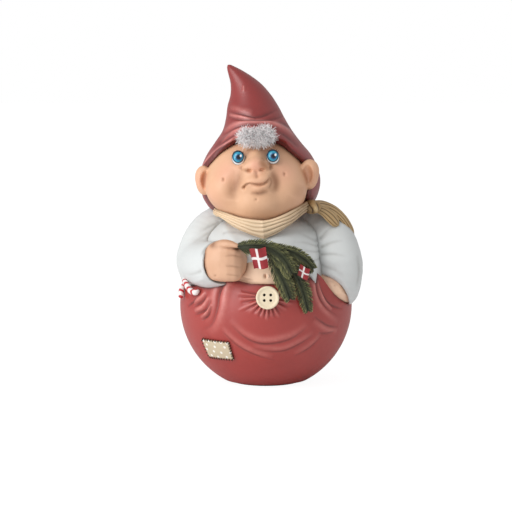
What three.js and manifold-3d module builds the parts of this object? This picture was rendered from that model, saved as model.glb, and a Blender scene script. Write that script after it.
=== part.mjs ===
// Nisse figure: a hand-painted cast ornament that stands on the flat under its round trousers.
// Millimetres, +Z up. The origin is the centre of the underside and the figure faces -Y.

import * as THREE from "three";
import { mergeVertices } from "three/addons/utils/BufferGeometryUtils.js";
import Module from "manifold-3d";

const wasm = await Module();
wasm.setup();

// Driving sizes

const GAP = 0.3;
const DEGREE = Math.PI / 180;
const SHORTEST_EDGE = 0.004;

const BALL_RADIUS = 43;
const FLAT_RADIUS = 21.22;
const TROUSERS_WALL = 5;
const FILLING_HOLE_RADIUS = 9;
const FELT_THICKNESS = 0.8;
const FELT_RADIUS = 17.5;
const BALLAST_TOP = 19;

const SPIGOT_RADIUS = 30.5;
const SPIGOT_DEPTH = 8;
const SHIRT_WALL = 2.2;
const SHIRT_SIDE_SHARE = 0.88;
const HEM_HALF_WIDTH = 27;
const HEM_RISE = 12;
const NECK_RADIUS = 9;
const CUFF_HALF_WIDTH = 14;
const CUFF_HALF_HEIGHT = 16;
const NECK_LENGTH = 9.4;

const BLEND_POWER = 12;
const BRIM_RADIUS = 1.7;

const BUTTON_RADIUS = 5.6;
const BUTTON_THICKNESS = 1.7;
const BUTTON_HOLE_RADIUS = 0.55;
const BUTTON_HOLE_SPREAD = 1.55;
const BUTTON_BEVEL = 0.35;
const BUTTON_PEG_LENGTH = 3;
const BUTTON_AZIMUTH = 0.7;
const BUTTON_RISE = 9.3;
const BUTTON_OUT = 1.4;

const PATCH_THICKNESS = 0.7;
const CANE_RADIUS = 1.3;
const KERCHIEF_HALF_THICKNESS = 1.5;
const STEM_RADIUS = 1.2;
const NEEDLE_LENGTH = 4.4;
const NEEDLE_SLANT = 42 * DEGREE;
const FROND_CORE = 2.1;
const FROND_THICKNESS = 2.4;
const FLAG_THICKNESS = 0.8;

// Sizes that follow from these. Every place further on is drawn round the centre of a 43 mm ball,
// whose height is 38.5 mm, and goes out from there as the ball grows.

const UNDERSIDE = FELT_THICKNESS + GAP;
const BALL_HEIGHT = UNDERSIDE + Math.sqrt(BALL_RADIUS ** 2 - FLAT_RADIUS ** 2);
const INNER_RADIUS = BALL_RADIUS - TROUSERS_WALL;
const FLOOR_TOP = UNDERSIDE + TROUSERS_WALL - 1;
const BALL_SHARE = BALL_RADIUS / 43;

function level(height) {
  return BALL_HEIGHT + (height - 38.5) * BALL_SHARE;
}

/** A place on the figure. */
function at(x, y, z) {
  return new THREE.Vector3(x * BALL_SHARE, y * BALL_SHARE, level(z));
}

/** A size or an offset on the figure. */
function by(x, y, z) {
  return new THREE.Vector3(x, y, z).multiplyScalar(BALL_SHARE);
}

/** Lengths on the figure. */
function spans(...lengths) {
  return lengths.map((length) => length * BALL_SHARE);
}

const UP = new THREE.Vector3(0, 0, 1);
const FRONT = new THREE.Vector3(0, -1, 0);

const HEAD_RADII = by(25.2, 27, 21);
const HEAD_CENTRE = at(-5, -8, 103);
const JAW_RADII = by(20.5, 18.6, 13);
const EYE_RADII = by(3.1, 2.2, 3.5);

// Shape tools

/** Geometry with shared vertices, no flat or folded triangles, and its faces pointing out. */
function sealed(geometry, nearby = 1e-4) {
  const bare = geometry.index ? geometry.clone() : geometry;
  bare.deleteAttribute("normal");
  bare.deleteAttribute("uv");
  const merged = mergeVertices(bare, nearby);
  const index = merged.index.array;
  const kept = new Map();
  for (let i = 0; i < index.length; i += 3) {
    const face = [index[i], index[i + 1], index[i + 2]];
    const key = [...face].sort((a, b) => a - b).join();
    if (new Set(face).size < 3) continue;
    if (kept.has(key)) kept.delete(key);
    else kept.set(key, face);
  }
  const faces = [...kept.values()].flat();
  const points = merged.attributes.position;
  const p = [new THREE.Vector3(), new THREE.Vector3(), new THREE.Vector3()];
  let volume = 0;
  for (let i = 0; i < faces.length; i += 3) {
    p.forEach((corner, k) => corner.fromBufferAttribute(points, faces[i + k]));
    volume += p[0].dot(p[1].clone().cross(p[2]));
  }
  if (volume < 0) faces.reverse();
  merged.setIndex(faces);
  merged.computeVertexNormals();
  return merged;
}

/** Moves every vertex of a geometry to the place that a rule gives for it. */
function reshape(geometry, rule) {
  const position = geometry.attributes.position;
  const point = new THREE.Vector3();
  for (let i = 0; i < position.count; i += 1) {
    point.fromBufferAttribute(position, i);
    const moved = rule(point, i);
    position.setXYZ(i, moved.x, moved.y, moved.z);
  }
  return geometry;
}

/** The same form, larger by a distance all over: the room that a neighbour leaves for it. */
function grown(form, distance) {
  const normal = new THREE.Vector3();
  const copy = form.clone();
  reshape(copy, (point, i) => {
    normal.fromBufferAttribute(form.attributes.normal, i);
    return point.addScaledVector(normal, distance);
  });
  copy.computeVertexNormals();
  return copy;
}

function solid(form) {
  const vertProperties = new Float32Array(form.attributes.position.array);
  const triVerts = new Uint32Array(form.index.array);
  return new wasm.Manifold(new wasm.Mesh({ numProp: 3, vertProperties, triVerts }));
}

function room(...forms) {
  return forms.map((form) => solid(grown(form, GAP))).reduce((all, next) => all.add(next));
}

/** An ellipsoid with its poles up and down. */
function ellipsoid(centre, radii, columns, rows) {
  const geometry = new THREE.SphereGeometry(1, columns, rows);
  geometry.rotateX(Math.PI / 2);
  geometry.scale(radii.x, radii.y, radii.z);
  geometry.translate(centre.x, centre.y, centre.z);
  return sealed(geometry);
}

/** Lifts or sinks a form along its normals, in a soft spot round each stroke. */
function sculpt(form, strokes) {
  const normals = form.attributes.normal;
  const normal = new THREE.Vector3();
  const segment = new THREE.Line3();
  const nearest = new THREE.Vector3();
  reshape(form, (point, i) => {
    let lift = 0;
    for (const stroke of strokes) {
      let away = point.distanceTo(stroke.path[0]);
      for (let k = 1; k < stroke.path.length; k += 1) {
        segment.set(stroke.path[k - 1], stroke.path[k]);
        segment.closestPointToPoint(point, true, nearest);
        away = Math.min(away, nearest.distanceTo(point));
      }
      lift += stroke.lift * BALL_SHARE * Math.exp(-((away / (stroke.spread * BALL_SHARE)) ** 2));
    }
    normal.fromBufferAttribute(normals, i);
    return point.clone().addScaledVector(normal, lift);
  });
  form.computeVertexNormals();
  return form;
}

/** Pushes a form outward from its middle to where a second ellipsoid round the middle reaches further. */
function swell(form, middle, centre, radii) {
  reshape(form, (point) => {
    const ray = point.clone().sub(middle);
    const step = ray.clone().divide(radii);
    const start = middle.clone().sub(centre).divide(radii);
    const a = step.lengthSq();
    const b = start.dot(step);
    const c = Math.min(start.lengthSq() - 1, 0);
    const far = Math.max((Math.sqrt(b * b - a * c) - b) / a, 0);
    return middle.clone().addScaledVector(ray, (1 + far ** BLEND_POWER) ** (1 / BLEND_POWER));
  });
  form.computeVertexNormals();
  return form;
}

/** A round-ended limb along a curve from tip to tip. The facing side can be thinner than it is wide. */
function limb(tips, radii, { columns = 12, rows = 10, thin = 1, facing = FRONT } = {}) {
  const axis = new THREE.CatmullRomCurve3(tips);
  const sizes = new THREE.CatmullRomCurve3(radii.map((r) => new THREE.Vector3(r, 0, 0)));
  const geometry = new THREE.SphereGeometry(1, columns, rows);
  reshape(geometry, (point) => {
    const along = THREE.MathUtils.clamp((1 - point.y) / 2, 0, 1);
    const ring = Math.hypot(point.x, point.z) || 1;
    const full = (1 - Math.abs(point.y) ** 4) ** 0.25;
    const radius = point.y > -1 && point.y < 1 ? sizes.getPoint(along).x * full : 0;
    const tangent = axis.getTangent(along);
    const side = tangent.clone().cross(facing).normalize();
    const out = side.clone().cross(tangent);
    return axis
      .getPoint(along)
      .addScaledVector(side, (point.x / ring) * radius)
      .addScaledVector(out, (point.z / ring) * radius * thin);
  });
  return sealed(geometry);
}

/** A body of revolution about the vertical axis, from points of radius and height. */
function turned(outline, columns) {
  const geometry = new THREE.LatheGeometry(outline.map(([r, z]) => new THREE.Vector2(r, z)), columns);
  geometry.rotateX(Math.PI / 2);
  return sealed(geometry);
}

/** Reads a height off a closed line of azimuth and height pairs, with soft steps between them. */
function readLine(line, azimuth) {
  const next = line.findIndex(([angle]) => angle > azimuth);
  if (next < 1) return line[line.length - 1][1];
  const [fromAngle, from] = line[next - 1];
  const [toAngle, to] = line[next];
  return THREE.MathUtils.lerp(from, to, THREE.MathUtils.smoothstep(azimuth, fromAngle, toAngle));
}

/** A point on the trousers' ball: azimuth in degrees from the front towards +X, height, and how far out. */
function onBall(azimuth, height, out = 0) {
  const radius = Math.sqrt(Math.max((BALL_RADIUS + out) ** 2 - (height - BALL_HEIGHT) ** 2, 0));
  return new THREE.Vector3(Math.sin(azimuth * DEGREE) * radius, -Math.cos(azimuth * DEGREE) * radius, height);
}

/** A point on the front of the head's ellipsoid, from its offset to the side and up. */
function onFace(side, up) {
  const offset = by(side, 0, up);
  const inside = 1 - (offset.x / HEAD_RADII.x) ** 2 - (offset.z / HEAD_RADII.z) ** 2;
  offset.y = -HEAD_RADII.y * Math.sqrt(Math.max(inside, 0));
  return offset.add(HEAD_CENTRE);
}

const pieces = new THREE.Group();

function addPiece(name, body, colour, roughness) {
  const { vertProperties, triVerts } = body.getMesh();
  const geometry = new THREE.BufferGeometry();
  geometry.setAttribute("position", new THREE.BufferAttribute(new Float32Array(vertProperties), 3));
  geometry.setIndex(new THREE.BufferAttribute(new Uint32Array(triVerts), 1));
  const material = new THREE.MeshStandardMaterial({ color: colour, roughness, metalness: 0 });
  const mesh = new THREE.Mesh(sealed(geometry, SHORTEST_EDGE), material);
  mesh.name = name;
  pieces.add(mesh);
}

// Trousers: a hollow ball with an open waist, a pocket mouth on each side and a flat underside

// The upper edge of the trousers, as azimuth and height. It dips at the two pockets.
const WAIST_LINE = [
  [-180, 54], [-94, 53.6], [-84, 50.5], [-73, 49.2], [-57, 50.2], [-45, 53], [-31, 53.7], [-23, 54.4],
  [-19, 56], [-11, 54.3], [1, 53.2], [14, 53.6], [24, 56], [35, 59.5], [42, 56.5], [50, 48.6],
  [60, 43.5], [70, 41], [78, 45], [86, 53.2], [100, 54], [180, 54],
].map(([azimuth, height]) => [azimuth, level(height)]);

function ballRing(radius, height) {
  return Math.sqrt(Math.max(radius ** 2 - (height - BALL_HEIGHT) ** 2, 0));
}

/** Points of radius and height along a round wall of the ball, evenly spaced from one height to another. */
function ballArc(radius, from, to, steps) {
  const start = Math.asin((from - BALL_HEIGHT) / radius);
  const end = Math.asin((to - BALL_HEIGHT) / radius);
  return Array.from({ length: steps + 1 }, (_, k) => {
    const height = BALL_HEIGHT + radius * Math.sin(THREE.MathUtils.lerp(start, end, k / steps));
    return [ballRing(radius, height), height];
  });
}

/** The wall's section at one azimuth: out along the underside, up outside, over the lip, down inside. */
function trousersSection(azimuth, hollow) {
  const waist = readLine(WAIST_LINE, azimuth);
  const section = [];
  section.push([hollow ? FILLING_HOLE_RADIUS : 0, UNDERSIDE]);
  section.push(...ballArc(BALL_RADIUS, UNDERSIDE, waist, 13));
  const edge = ballRing(BALL_RADIUS, waist);
  section.push([edge - TROUSERS_WALL * 0.3, waist + 0.9]);
  section.push([edge - TROUSERS_WALL * 0.7, waist + 0.7]);
  if (!hollow) return [...section, [0, WAIST_LINE[0][1]]];
  section.push(...ballArc(INNER_RADIUS, waist - 0.8, FLOOR_TOP, 6));
  return [...section, [FILLING_HOLE_RADIUS, FLOOR_TOP], section[0]];
}

function trousersForm(hollow, columns) {
  const guide = trousersSection(0, hollow).map(([r, z]) => new THREE.Vector2(r, z));
  const geometry = new THREE.LatheGeometry(guide, columns);
  const count = guide.length;
  reshape(geometry, (point, i) => {
    const azimuth = ((Math.floor(i / count) / columns) * 360 + 180) % 360 - 180;
    const [radius, height] = trousersSection(azimuth, hollow)[i % count];
    const across = Math.sin(azimuth * DEGREE) * radius;
    return new THREE.Vector3(across, -Math.cos(azimuth * DEGREE) * radius, height);
  });
  return sealed(geometry);
}

/** A fold in the cloth that follows points on the ball, each given as azimuth and height. */
function fold(spread, lift, ...places) {
  return { path: places.map(([azimuth, height]) => onBall(azimuth, level(height))), spread, lift };
}

const TROUSER_FOLDS = [
  fold(2.2, -1.3, [-32, 52], [-33, 43], [-38, 34], [-47, 29]),
  fold(3.2, 0.9, [-26, 50], [-28, 40], [-32, 31]),
  fold(2.4, -0.9, [-5, 24.5], [6, 25], [16, 28], [25, 31]),
  fold(2.4, 0.6, [-2, 28], [10, 28.5], [22, 32]),
  fold(2.4, -0.8, [-21, 31.7], [-12, 27], [-2, 22.4]),
  fold(2.4, 0.7, [-27, 28.3], [-15, 24.5], [0, 19.5]),
  fold(2.6, -0.8, [38, 50], [43, 41], [57, 35]),
  fold(2.6, 0.8, [44, 46], [50, 39], [64, 35]),
];

const trousersWhole = sculpt(trousersForm(false, 36), TROUSER_FOLDS);
const trousersShell = sculpt(trousersForm(true, 36), TROUSER_FOLDS);

// Body core: the bare belly, the spigot in the waist, the chest inside the shirt and the neck

const SHIRT_OUTLINE = [
  [40.6, 54], [41.2, 58], [40.4, 63], [38.2, 68], [34.8, 73], [30.2, 77.5], [24, 81.2], [17, 83.6],
].map(([radius, height]) => [radius * BALL_SHARE, level(height)]);

/** The chest is narrower from side to side than from front to back, but round at the waist. */
function narrowChest(form) {
  return reshape(form, (point) => {
    const share = THREE.MathUtils.smoothstep(point.z, SHIRT_OUTLINE[0][1], SHIRT_OUTLINE[3][1]);
    point.x *= THREE.MathUtils.lerp(1, SHIRT_SIDE_SHARE, share);
    return point;
  });
}

const WAIST_HEIGHT = SHIRT_OUTLINE[0][1];
const NECK_ROOT = SHIRT_OUTLINE[SHIRT_OUTLINE.length - 1][1];
const coreOutline = [
  [0, WAIST_HEIGHT - SPIGOT_DEPTH],
  [SPIGOT_RADIUS, WAIST_HEIGHT - SPIGOT_DEPTH],
  [SPIGOT_RADIUS, WAIST_HEIGHT - 1],
  ...SHIRT_OUTLINE.slice(0, -1).map(([r, z]) => [r - SHIRT_WALL, z - SHIRT_WALL * 0.3]),
  [NECK_RADIUS + 3, NECK_ROOT - SHIRT_WALL],
  [NECK_RADIUS, NECK_ROOT + 1],
  [NECK_RADIUS, NECK_ROOT + NECK_LENGTH],
  [0, NECK_ROOT + NECK_LENGTH],
];
const coreForm = narrowChest(turned(coreOutline, 28));
coreForm.computeVertexNormals();

// Shirt: an open shell over the core, cut away in front where the belly shows

const HEM_HEIGHT = WAIST_HEIGHT - 0.4;
const shirtOutline = [[0, HEM_HEIGHT], [SHIRT_OUTLINE[0][0], HEM_HEIGHT], ...SHIRT_OUTLINE, [0, NECK_ROOT]];
const shirtForm = narrowChest(turned(shirtOutline, 30));
shirtForm.computeVertexNormals();

const hemArch = new THREE.Shape();
hemArch.absellipse(0, 0, HEM_HALF_WIDTH, HEM_RISE, 0, Math.PI, false);
const hemCutter = new THREE.ExtrudeGeometry(hemArch, {
  depth: BALL_RADIUS,
  bevelEnabled: false,
  curveSegments: 20,
});
hemCutter.rotateX(Math.PI / 2);
hemCutter.translate(2, -BALL_RADIUS * 0.25, WAIST_HEIGHT - 0.6);

// Arms: full sleeves, the fist at the chest and the hand in the pocket

const rightSleeveForms = [
  limb([at(-18, 5, 84), at(-29.6, 1, 75), at(-32.4, -4, 64), at(-31.2, -8, 52)], spans(8, 12, 11.6, 10)),
  limb(
    [at(-34.4, 1, 61), at(-32, -12, 60.6), at(-27, -26, 61.5), at(-21.5, -35.6, 63.8)],
    spans(9.6, 11.2, 11.4, 10.8),
  ),
];
const leftSleeveForm = limb(
  [at(19, 3, 82), at(30.4, -5, 74), at(36, -14, 62), at(36.6, -15.5, 52), at(35.6, -14.5, 44)],
  spans(8, 11.6, 11.4, 10.4, 9.6),
);
const rightPalmForm = ellipsoid(at(-20, -37, 65), by(9.9, 8.6, 10), 14, 10);
const rightWristForm = limb([at(-31, -19, 61), at(-26, -27, 62), at(-20, -35, 64.4)], spans(6, 6.5, 6.5));
const FINGER_HEIGHTS = [70.4, 66.2, 61.9, 58];
const fingerForms = FINGER_HEIGHTS.map((height) => limb(
  [at(-25.6, -38.2, height), at(-20.4, -44.4, height), at(-13.8, -43.8, height), at(-12.2, -37.4, height)],
  spans(2.4, 2.9, 2.9, 2.4),
  { columns: 8, rows: 8, facing: UP },
));
const thumbForm = limb(
  [at(-27.5, -37, 67), at(-23.5, -41.5, 72.8), at(-18, -45, 74), at(-14, -46.6, 73.4)],
  spans(3, 2.9, 2.4, 1.8),
  { columns: 8, rows: 7 },
);
const leftHandForm = limb(
  [at(34.6, -9, 62), at(34.2, -13, 55), at(32, -16, 48), at(27.5, -17.5, 37)],
  spans(6.5, 8, 8.6, 7.2),
);
const cuffOutline = new THREE.Shape();
cuffOutline.absellipse(0, 0, CUFF_HALF_WIDTH * BALL_SHARE, CUFF_HALF_HEIGHT * BALL_SHARE, 0, Math.PI * 2, false);
const cuffCutter = new THREE.ExtrudeGeometry(cuffOutline, {
  depth: BALL_RADIUS,
  bevelEnabled: false,
  curveSegments: 24,
});
cuffCutter.rotateX(Math.PI / 2);
const CUFF_PLACE = at(26.8, -9, 39.8);
cuffCutter.translate(CUFF_PLACE.x, CUFF_PLACE.y, CUFF_PLACE.z);

// Head: one casting with its ears, two eye sockets and a neck socket

const EYE_PLACES = [onFace(-8.9, 10.8), onFace(7.7, 11.5)];
const JAW_CENTRE = HEAD_CENTRE.clone().add(by(2.2, -9, -11));
const skullForm = swell(ellipsoid(HEAD_CENTRE, HEAD_RADII, 26, 20), HEAD_CENTRE, JAW_CENTRE, JAW_RADII);
const headForm = sculpt(skullForm, [
  { path: [onFace(-12.5, -4.5)], spread: 11, lift: 3.4 },
  { path: [onFace(13.5, -4)], spread: 11, lift: 3.4 },
  { path: [onFace(-0.5, 10), onFace(-1.5, 6)], spread: 3.6, lift: 2.6 },
  { path: [onFace(-4, 4.4), onFace(2.4, 4.8)], spread: 4.2, lift: 3 },
  { path: [onFace(-5, 0), onFace(5, 1)], spread: 5, lift: 2 },
  { path: [onFace(-6, -1.8), onFace(0, -1), onFace(7, -0.4)], spread: 2, lift: -1 },
  { path: [onFace(-2, -4), onFace(3, -4)], spread: 4, lift: 1.4 },
]);
const EAR_SIZE = by(4.1, 3, 6.8);
const earForms = [
  ellipsoid(HEAD_CENTRE.clone().add(by(-25.3, -7, -1.3)), EAR_SIZE, 10, 8),
  ellipsoid(HEAD_CENTRE.clone().add(by(26.3, -11.6, 1.9)), EAR_SIZE, 10, 8),
];
const eyeForms = EYE_PLACES.map((place) => ellipsoid(place.clone().add(by(0, 0.6, 0)), EYE_RADII, 10, 6));

// Hood: a pointed cap that is hollow over the head, with a face opening

// Height, middle across, middle front to back, half width, half depth, from the tip down.
const HOOD_RINGS = [
  [158, -18.3, 0, 0.2, 0.2], [156.4, -16.7, 0, 2.6, 2.6], [153, -13.4, -0.3, 5.2, 5.2],
  [149.4, -10.5, -0.7, 7.2, 7.4], [143.5, -7.7, -1.8, 9.9, 10.5], [137.6, -6.5, -3, 12.6, 14],
  [131.6, -5.3, -4, 14.6, 18.6], [125.7, -4.3, -4.5, 17.2, 23.6], [119.7, -4, -4.5, 21.4, 26.8],
  [113.8, -3.5, -4.2, 25.8, 28.8], [107.8, -3.3, -3.8, 28.6, 29.8], [101.8, -3, -3, 29.9, 30],
  [95.8, -3, -2, 29.3, 29], [90, -3.2, -0.5, 27, 27], [86, -3.3, 1, 23.5, 24],
  [83.4, -3.3, 2, 18, 20], [83, -3.3, 2, 0.2, 0.2],
];

function loft(rings, columns, rows) {
  const middles = new THREE.CatmullRomCurve3(rings.map(([z, x, y]) => at(x, y, z)));
  const sizes = new THREE.CatmullRomCurve3(rings.map((ring) => by(ring[3], ring[4], 0)));
  const geometry = new THREE.SphereGeometry(1, columns, rows);
  geometry.rotateX(Math.PI / 2);
  reshape(geometry, (point) => {
    const along = THREE.MathUtils.clamp(Math.acos(THREE.MathUtils.clamp(point.z, -1, 1)) / Math.PI, 0, 1);
    const ring = Math.hypot(point.x, point.y);
    const middle = middles.getPoint(along);
    if (ring < 1e-6) return middle;
    const size = sizes.getPoint(along);
    return middle.add(new THREE.Vector3((point.x / ring) * size.x, (point.y / ring) * size.y, 0));
  });
  return sealed(geometry);
}

const hoodForm = sculpt(loft(HOOD_RINGS, 24, 18), [
  { path: [at(-20, -16, 131), at(-6, -24, 131), at(8, -18, 132)], spread: 2.6, lift: -1.2 },
  { path: [at(-22, -20, 126), at(-6, -29, 128), at(10, -22, 127)], spread: 3, lift: 1.2 },
]);
const BRIM_ROUTE = [
  at(-30.6, -13.8, 100), at(-30.5, -17.5, 106), at(-23, -25.5, 116), at(-5, -31.6, 124),
  at(12, -26.5, 116.5), at(20.5, -19, 106), at(22.6, -15.2, 101),
];
const brimForm = limb(BRIM_ROUTE, BRIM_ROUTE.map(() => BRIM_RADIUS), { columns: 6, rows: 22 });

// Where the hood ends round the face, across and up, from the forehead towards +X.
const FACE_EDGE = [
  [-4, 122.4], [5.9, 119.6], [12.7, 114.5], [17.3, 110.1], [19.9, 104], [19.9, 98.6], [17.8, 90],
  [12, 84], [4, 81], [-6, 80.4], [-15, 82], [-21.5, 86], [-25.3, 90.3], [-27.9, 94.2],
  [-29.9, 100], [-29, 106.7], [-25.1, 112.1], [-21.2, 116], [-13.5, 120.6],
];
const faceLine = new THREE.CatmullRomCurve3(FACE_EDGE.map(([x, z]) => at(x, 0, z)), true);
const facePoints = faceLine.getPoints(48).slice(1).map((point) => new THREE.Vector2(point.x, point.z));
const faceCutter = new THREE.ExtrudeGeometry(new THREE.Shape(facePoints), {
  depth: HEAD_RADII.y * 2,
  bevelEnabled: false,
});
faceCutter.rotateX(Math.PI / 2);
faceCutter.translate(0, HEAD_CENTRE.y - 3, 0);

// Tuft: a pad of fur glued to the brim over the forehead, in two lobes

const tuftForm = sculpt(ellipsoid(HEAD_CENTRE.clone().add(by(-0.4, -21, 22.4)), by(11.2, 6, 6.4), 14, 8), [
  { path: [HEAD_CENTRE.clone().add(by(-5.5, -26, 23))], spread: 4.5, lift: 1.2 },
  { path: [HEAD_CENTRE.clone().add(by(4.5, -26, 24))], spread: 4.5, lift: 1.2 },
]);

// Kerchief: a pleated cloth ring round the neck, deepest in front, with a knot and two ends

// The middle of the cloth and half its depth, once round from the front towards +X.
const KERCHIEF_ROUTE = [
  [-1.6, -33.6, 80.2, 4], [9.5, -31.2, 83.9, 3.1], [17.5, -24, 88.6, 2.5], [21, -12.5, 89.6, 2.4],
  [18, 4, 87, 2.3], [8, 14, 85.6, 2.3], [-6, 15, 85.6, 2.3], [-18, 7, 86.4, 2.3],
  [-24, -7, 86, 2], [-24.2, -16, 86.2, 1.8], [-21.4, -24.6, 86, 1.9], [-11.8, -32, 82.2, 3.1],
];
const kerchiefMiddle = new THREE.CatmullRomCurve3(KERCHIEF_ROUTE.map(([x, y, z]) => at(x, y, z)), true);
const kerchiefDepth = new THREE.CatmullRomCurve3(KERCHIEF_ROUTE.map((row) => by(row[3], 0, 0)), true);
const kerchiefTurns = 32;
const kerchiefRows = 8;
const kerchiefGeometry = new THREE.TorusGeometry(1, 0.3, kerchiefRows, kerchiefTurns);
reshape(kerchiefGeometry, (point, i) => {
  const along = (i % (kerchiefTurns + 1)) / kerchiefTurns;
  const around = (Math.floor(i / (kerchiefTurns + 1)) / kerchiefRows) * Math.PI * 2;
  const middle = kerchiefMiddle.getPoint(along % 1);
  const tangent = kerchiefMiddle.getTangent(along % 1);
  const out = tangent.clone().cross(UP).normalize();
  const up = out.clone().cross(tangent).normalize();
  const depth = kerchiefDepth.getPoint(along % 1).x;
  return middle
    .addScaledVector(out, Math.cos(around) * KERCHIEF_HALF_THICKNESS)
    .addScaledVector(up, Math.sin(around) * depth);
});
const kerchiefForm = sealed(kerchiefGeometry);
const KNOT_PLACE = at(22.3, -18.4, 89.2);
const knotForm = ellipsoid(KNOT_PLACE, by(4.6, 4.2, 3.4), 14, 8);
const CLOTH_THINNESS = 0.36;
const frontRoot = KNOT_PLACE.clone().add(by(1.6, 0.4, -0.4));
const tailFrontForm = limb(
  [frontRoot, at(29.4, -14.6, 86), at(33.4, -12.4, 82.6), at(35.6, -11, 79.6)],
  spans(2.4, 3.4, 3.8, 2.4),
  { thin: CLOTH_THINNESS, facing: by(0.4, -0.7, 0.7) },
);
const backRoot = KNOT_PLACE.clone().add(by(1.6, 2.4, 0.8));
const tailBackForm = limb(
  [backRoot, at(29.4, -9, 88.2), at(35.6, -2.4, 83.4), at(39.6, 5, 76.4), at(40.4, 12, 68.6)],
  spans(2.4, 3.6, 4.4, 4.6, 3.2),
  { thin: CLOTH_THINNESS, facing: by(0.8, -0.1, 0.6) },
);

// Spruce sprig: a twig through the fist and four needled fronds, with two small flags

const STEM_ROUTE = [
  at(-26, -40.5, 72.4), at(-17, -43.6, 72.6), at(-8, -46.6, 73),
  at(1, -46.8, 71.2), at(8, -46.4, 67), at(13, -45.8, 62),
];
const stemForm = limb(STEM_ROUTE, STEM_ROUTE.map(() => STEM_RADIUS), { columns: 6, rows: 10 });

/** A flat frond: a notched outline of slanting needles, bent along a curve. */
function frond(route, needles, reach = NEEDLE_LENGTH) {
  const axis = new THREE.CatmullRomCurve3(route);
  const length = axis.getLength();
  const pitch = length / (needles + 1);
  const outline = new THREE.Shape();
  const edge = [[0, FROND_CORE]];
  for (let k = 0; k < needles; k += 1) {
    const along = pitch * (k + 0.2);
    const needle = reach * (0.55 + 0.45 * Math.sin((Math.PI * (k + 1)) / (needles + 1)));
    const ahead = Math.min(along + needle * Math.cos(NEEDLE_SLANT), length * 1.02);
    edge.push([ahead, FROND_CORE + needle * Math.sin(NEEDLE_SLANT)]);
    edge.push([Math.min(along + pitch * 0.75, length * 0.99), FROND_CORE]);
  }
  outline.moveTo(0, 0);
  edge.forEach(([s, w]) => outline.lineTo(s, w));
  outline.lineTo(length * 1.04, 0);
  edge.slice().reverse().forEach(([s, w]) => outline.lineTo(s, -w));
  const geometry = new THREE.ExtrudeGeometry(outline, {
    depth: FROND_THICKNESS,
    bevelEnabled: false,
    steps: 1,
  });
  const last = axis.getPointAt(1);
  const lastTangent = axis.getTangentAt(1);
  reshape(geometry, (point) => {
    const share = THREE.MathUtils.clamp(point.x / length, 0, 1);
    const tangent = axis.getTangentAt(share);
    const middle = share < 1 ? axis.getPointAt(share) : last.clone();
    middle.addScaledVector(lastTangent, Math.max(point.x - length, 0));
    const side = tangent.clone().cross(FRONT).normalize();
    const out = side.clone().cross(tangent);
    const droop = (point.y / reach) ** 2 * 0.8;
    const lift = point.z - FROND_THICKNESS / 2 - droop;
    return middle.addScaledVector(side, point.y).addScaledVector(out, lift);
  });
  return sealed(geometry);
}

const TOP_NEEDLE_LENGTH = 6.4;
const frondForms = {
  sprig_frond_top: frond(
    [at(-8.6, -49.5, 72.6), at(-3, -49.6, 72), at(4, -49.4, 69), at(9.6, -48.8, 64)],
    8,
    TOP_NEEDLE_LENGTH,
  ),
  sprig_frond_right: frond([at(7, -43.9, 70), at(14, -43.4, 68.4), at(19.4, -42.6, 65.6), at(23, -41.6, 62.4)], 7),
  sprig_frond_low_left: frond([at(3, -44.2, 67), at(8, -44.6, 60), at(11, -45, 54), at(12.4, -45, 49)], 7),
  sprig_frond_low_right: frond(
    [at(14, -39.4, 59.6), at(17, -39.8, 54), at(19.2, -40.4, 48), at(20.4, -40.4, 40.6)],
    10,
  ),
};

function flagForm(width, height, place, turn) {
  const geometry = new THREE.BoxGeometry(width, FLAG_THICKNESS, height, 8, 1, 1);
  reshape(geometry, (point) => {
    point.y += Math.sin((point.x / width) * Math.PI * 2) * 0.5;
    return point;
  });
  geometry.rotateY(turn);
  geometry.translate(place.x, place.y, place.z);
  return sealed(geometry);
}

const flagForms = {
  flag_front: flagForm(...spans(8, 9.4), at(-3.2, -52, 67.5), -8 * DEGREE),
  flag_side: flagForm(...spans(5.8, 5.8), at(18.6, -43.9, 60.3), 22 * DEGREE),
};

// Candy canes: two hooked sticks whose feet stand in the pocket

function cane(route) {
  return limb(route, route.map(() => CANE_RADIUS), { columns: 6, rows: 14, facing: by(0.4, 0.3, 1) });
}

const caneForms = {
  candy_cane_a: cane([
    at(-33, -13, 40), at(-37, -12.6, 47), at(-40, -15, 52), at(-39.2, -20.4, 51.4),
    at(-36.9, -24.6, 48.6), at(-34.4, -27.2, 48.2), at(-33.8, -27.6, 50),
  ]),
  candy_cane_b: cane([
    at(-36, -4, 40), at(-37.6, -6, 46), at(-39.8, -9, 49.6), at(-41.8, -12.8, 47.4), at(-42, -15.4, 43.6),
  ]),
};

// Button: a disc with a raised rim edge, four holes and a peg behind

function placeOnBall(form, azimuth, height, out) {
  const place = onBall(azimuth, height, out);
  const normal = place.clone().sub(new THREE.Vector3(0, 0, BALL_HEIGHT)).normalize();
  const turn = new THREE.Quaternion().setFromUnitVectors(UP, normal);
  const twist = new THREE.Quaternion().setFromAxisAngle(UP, azimuth * DEGREE);
  form.applyQuaternion(twist);
  form.applyQuaternion(turn);
  form.translate(place.x, place.y, place.z);
  return sealed(form);
}

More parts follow.
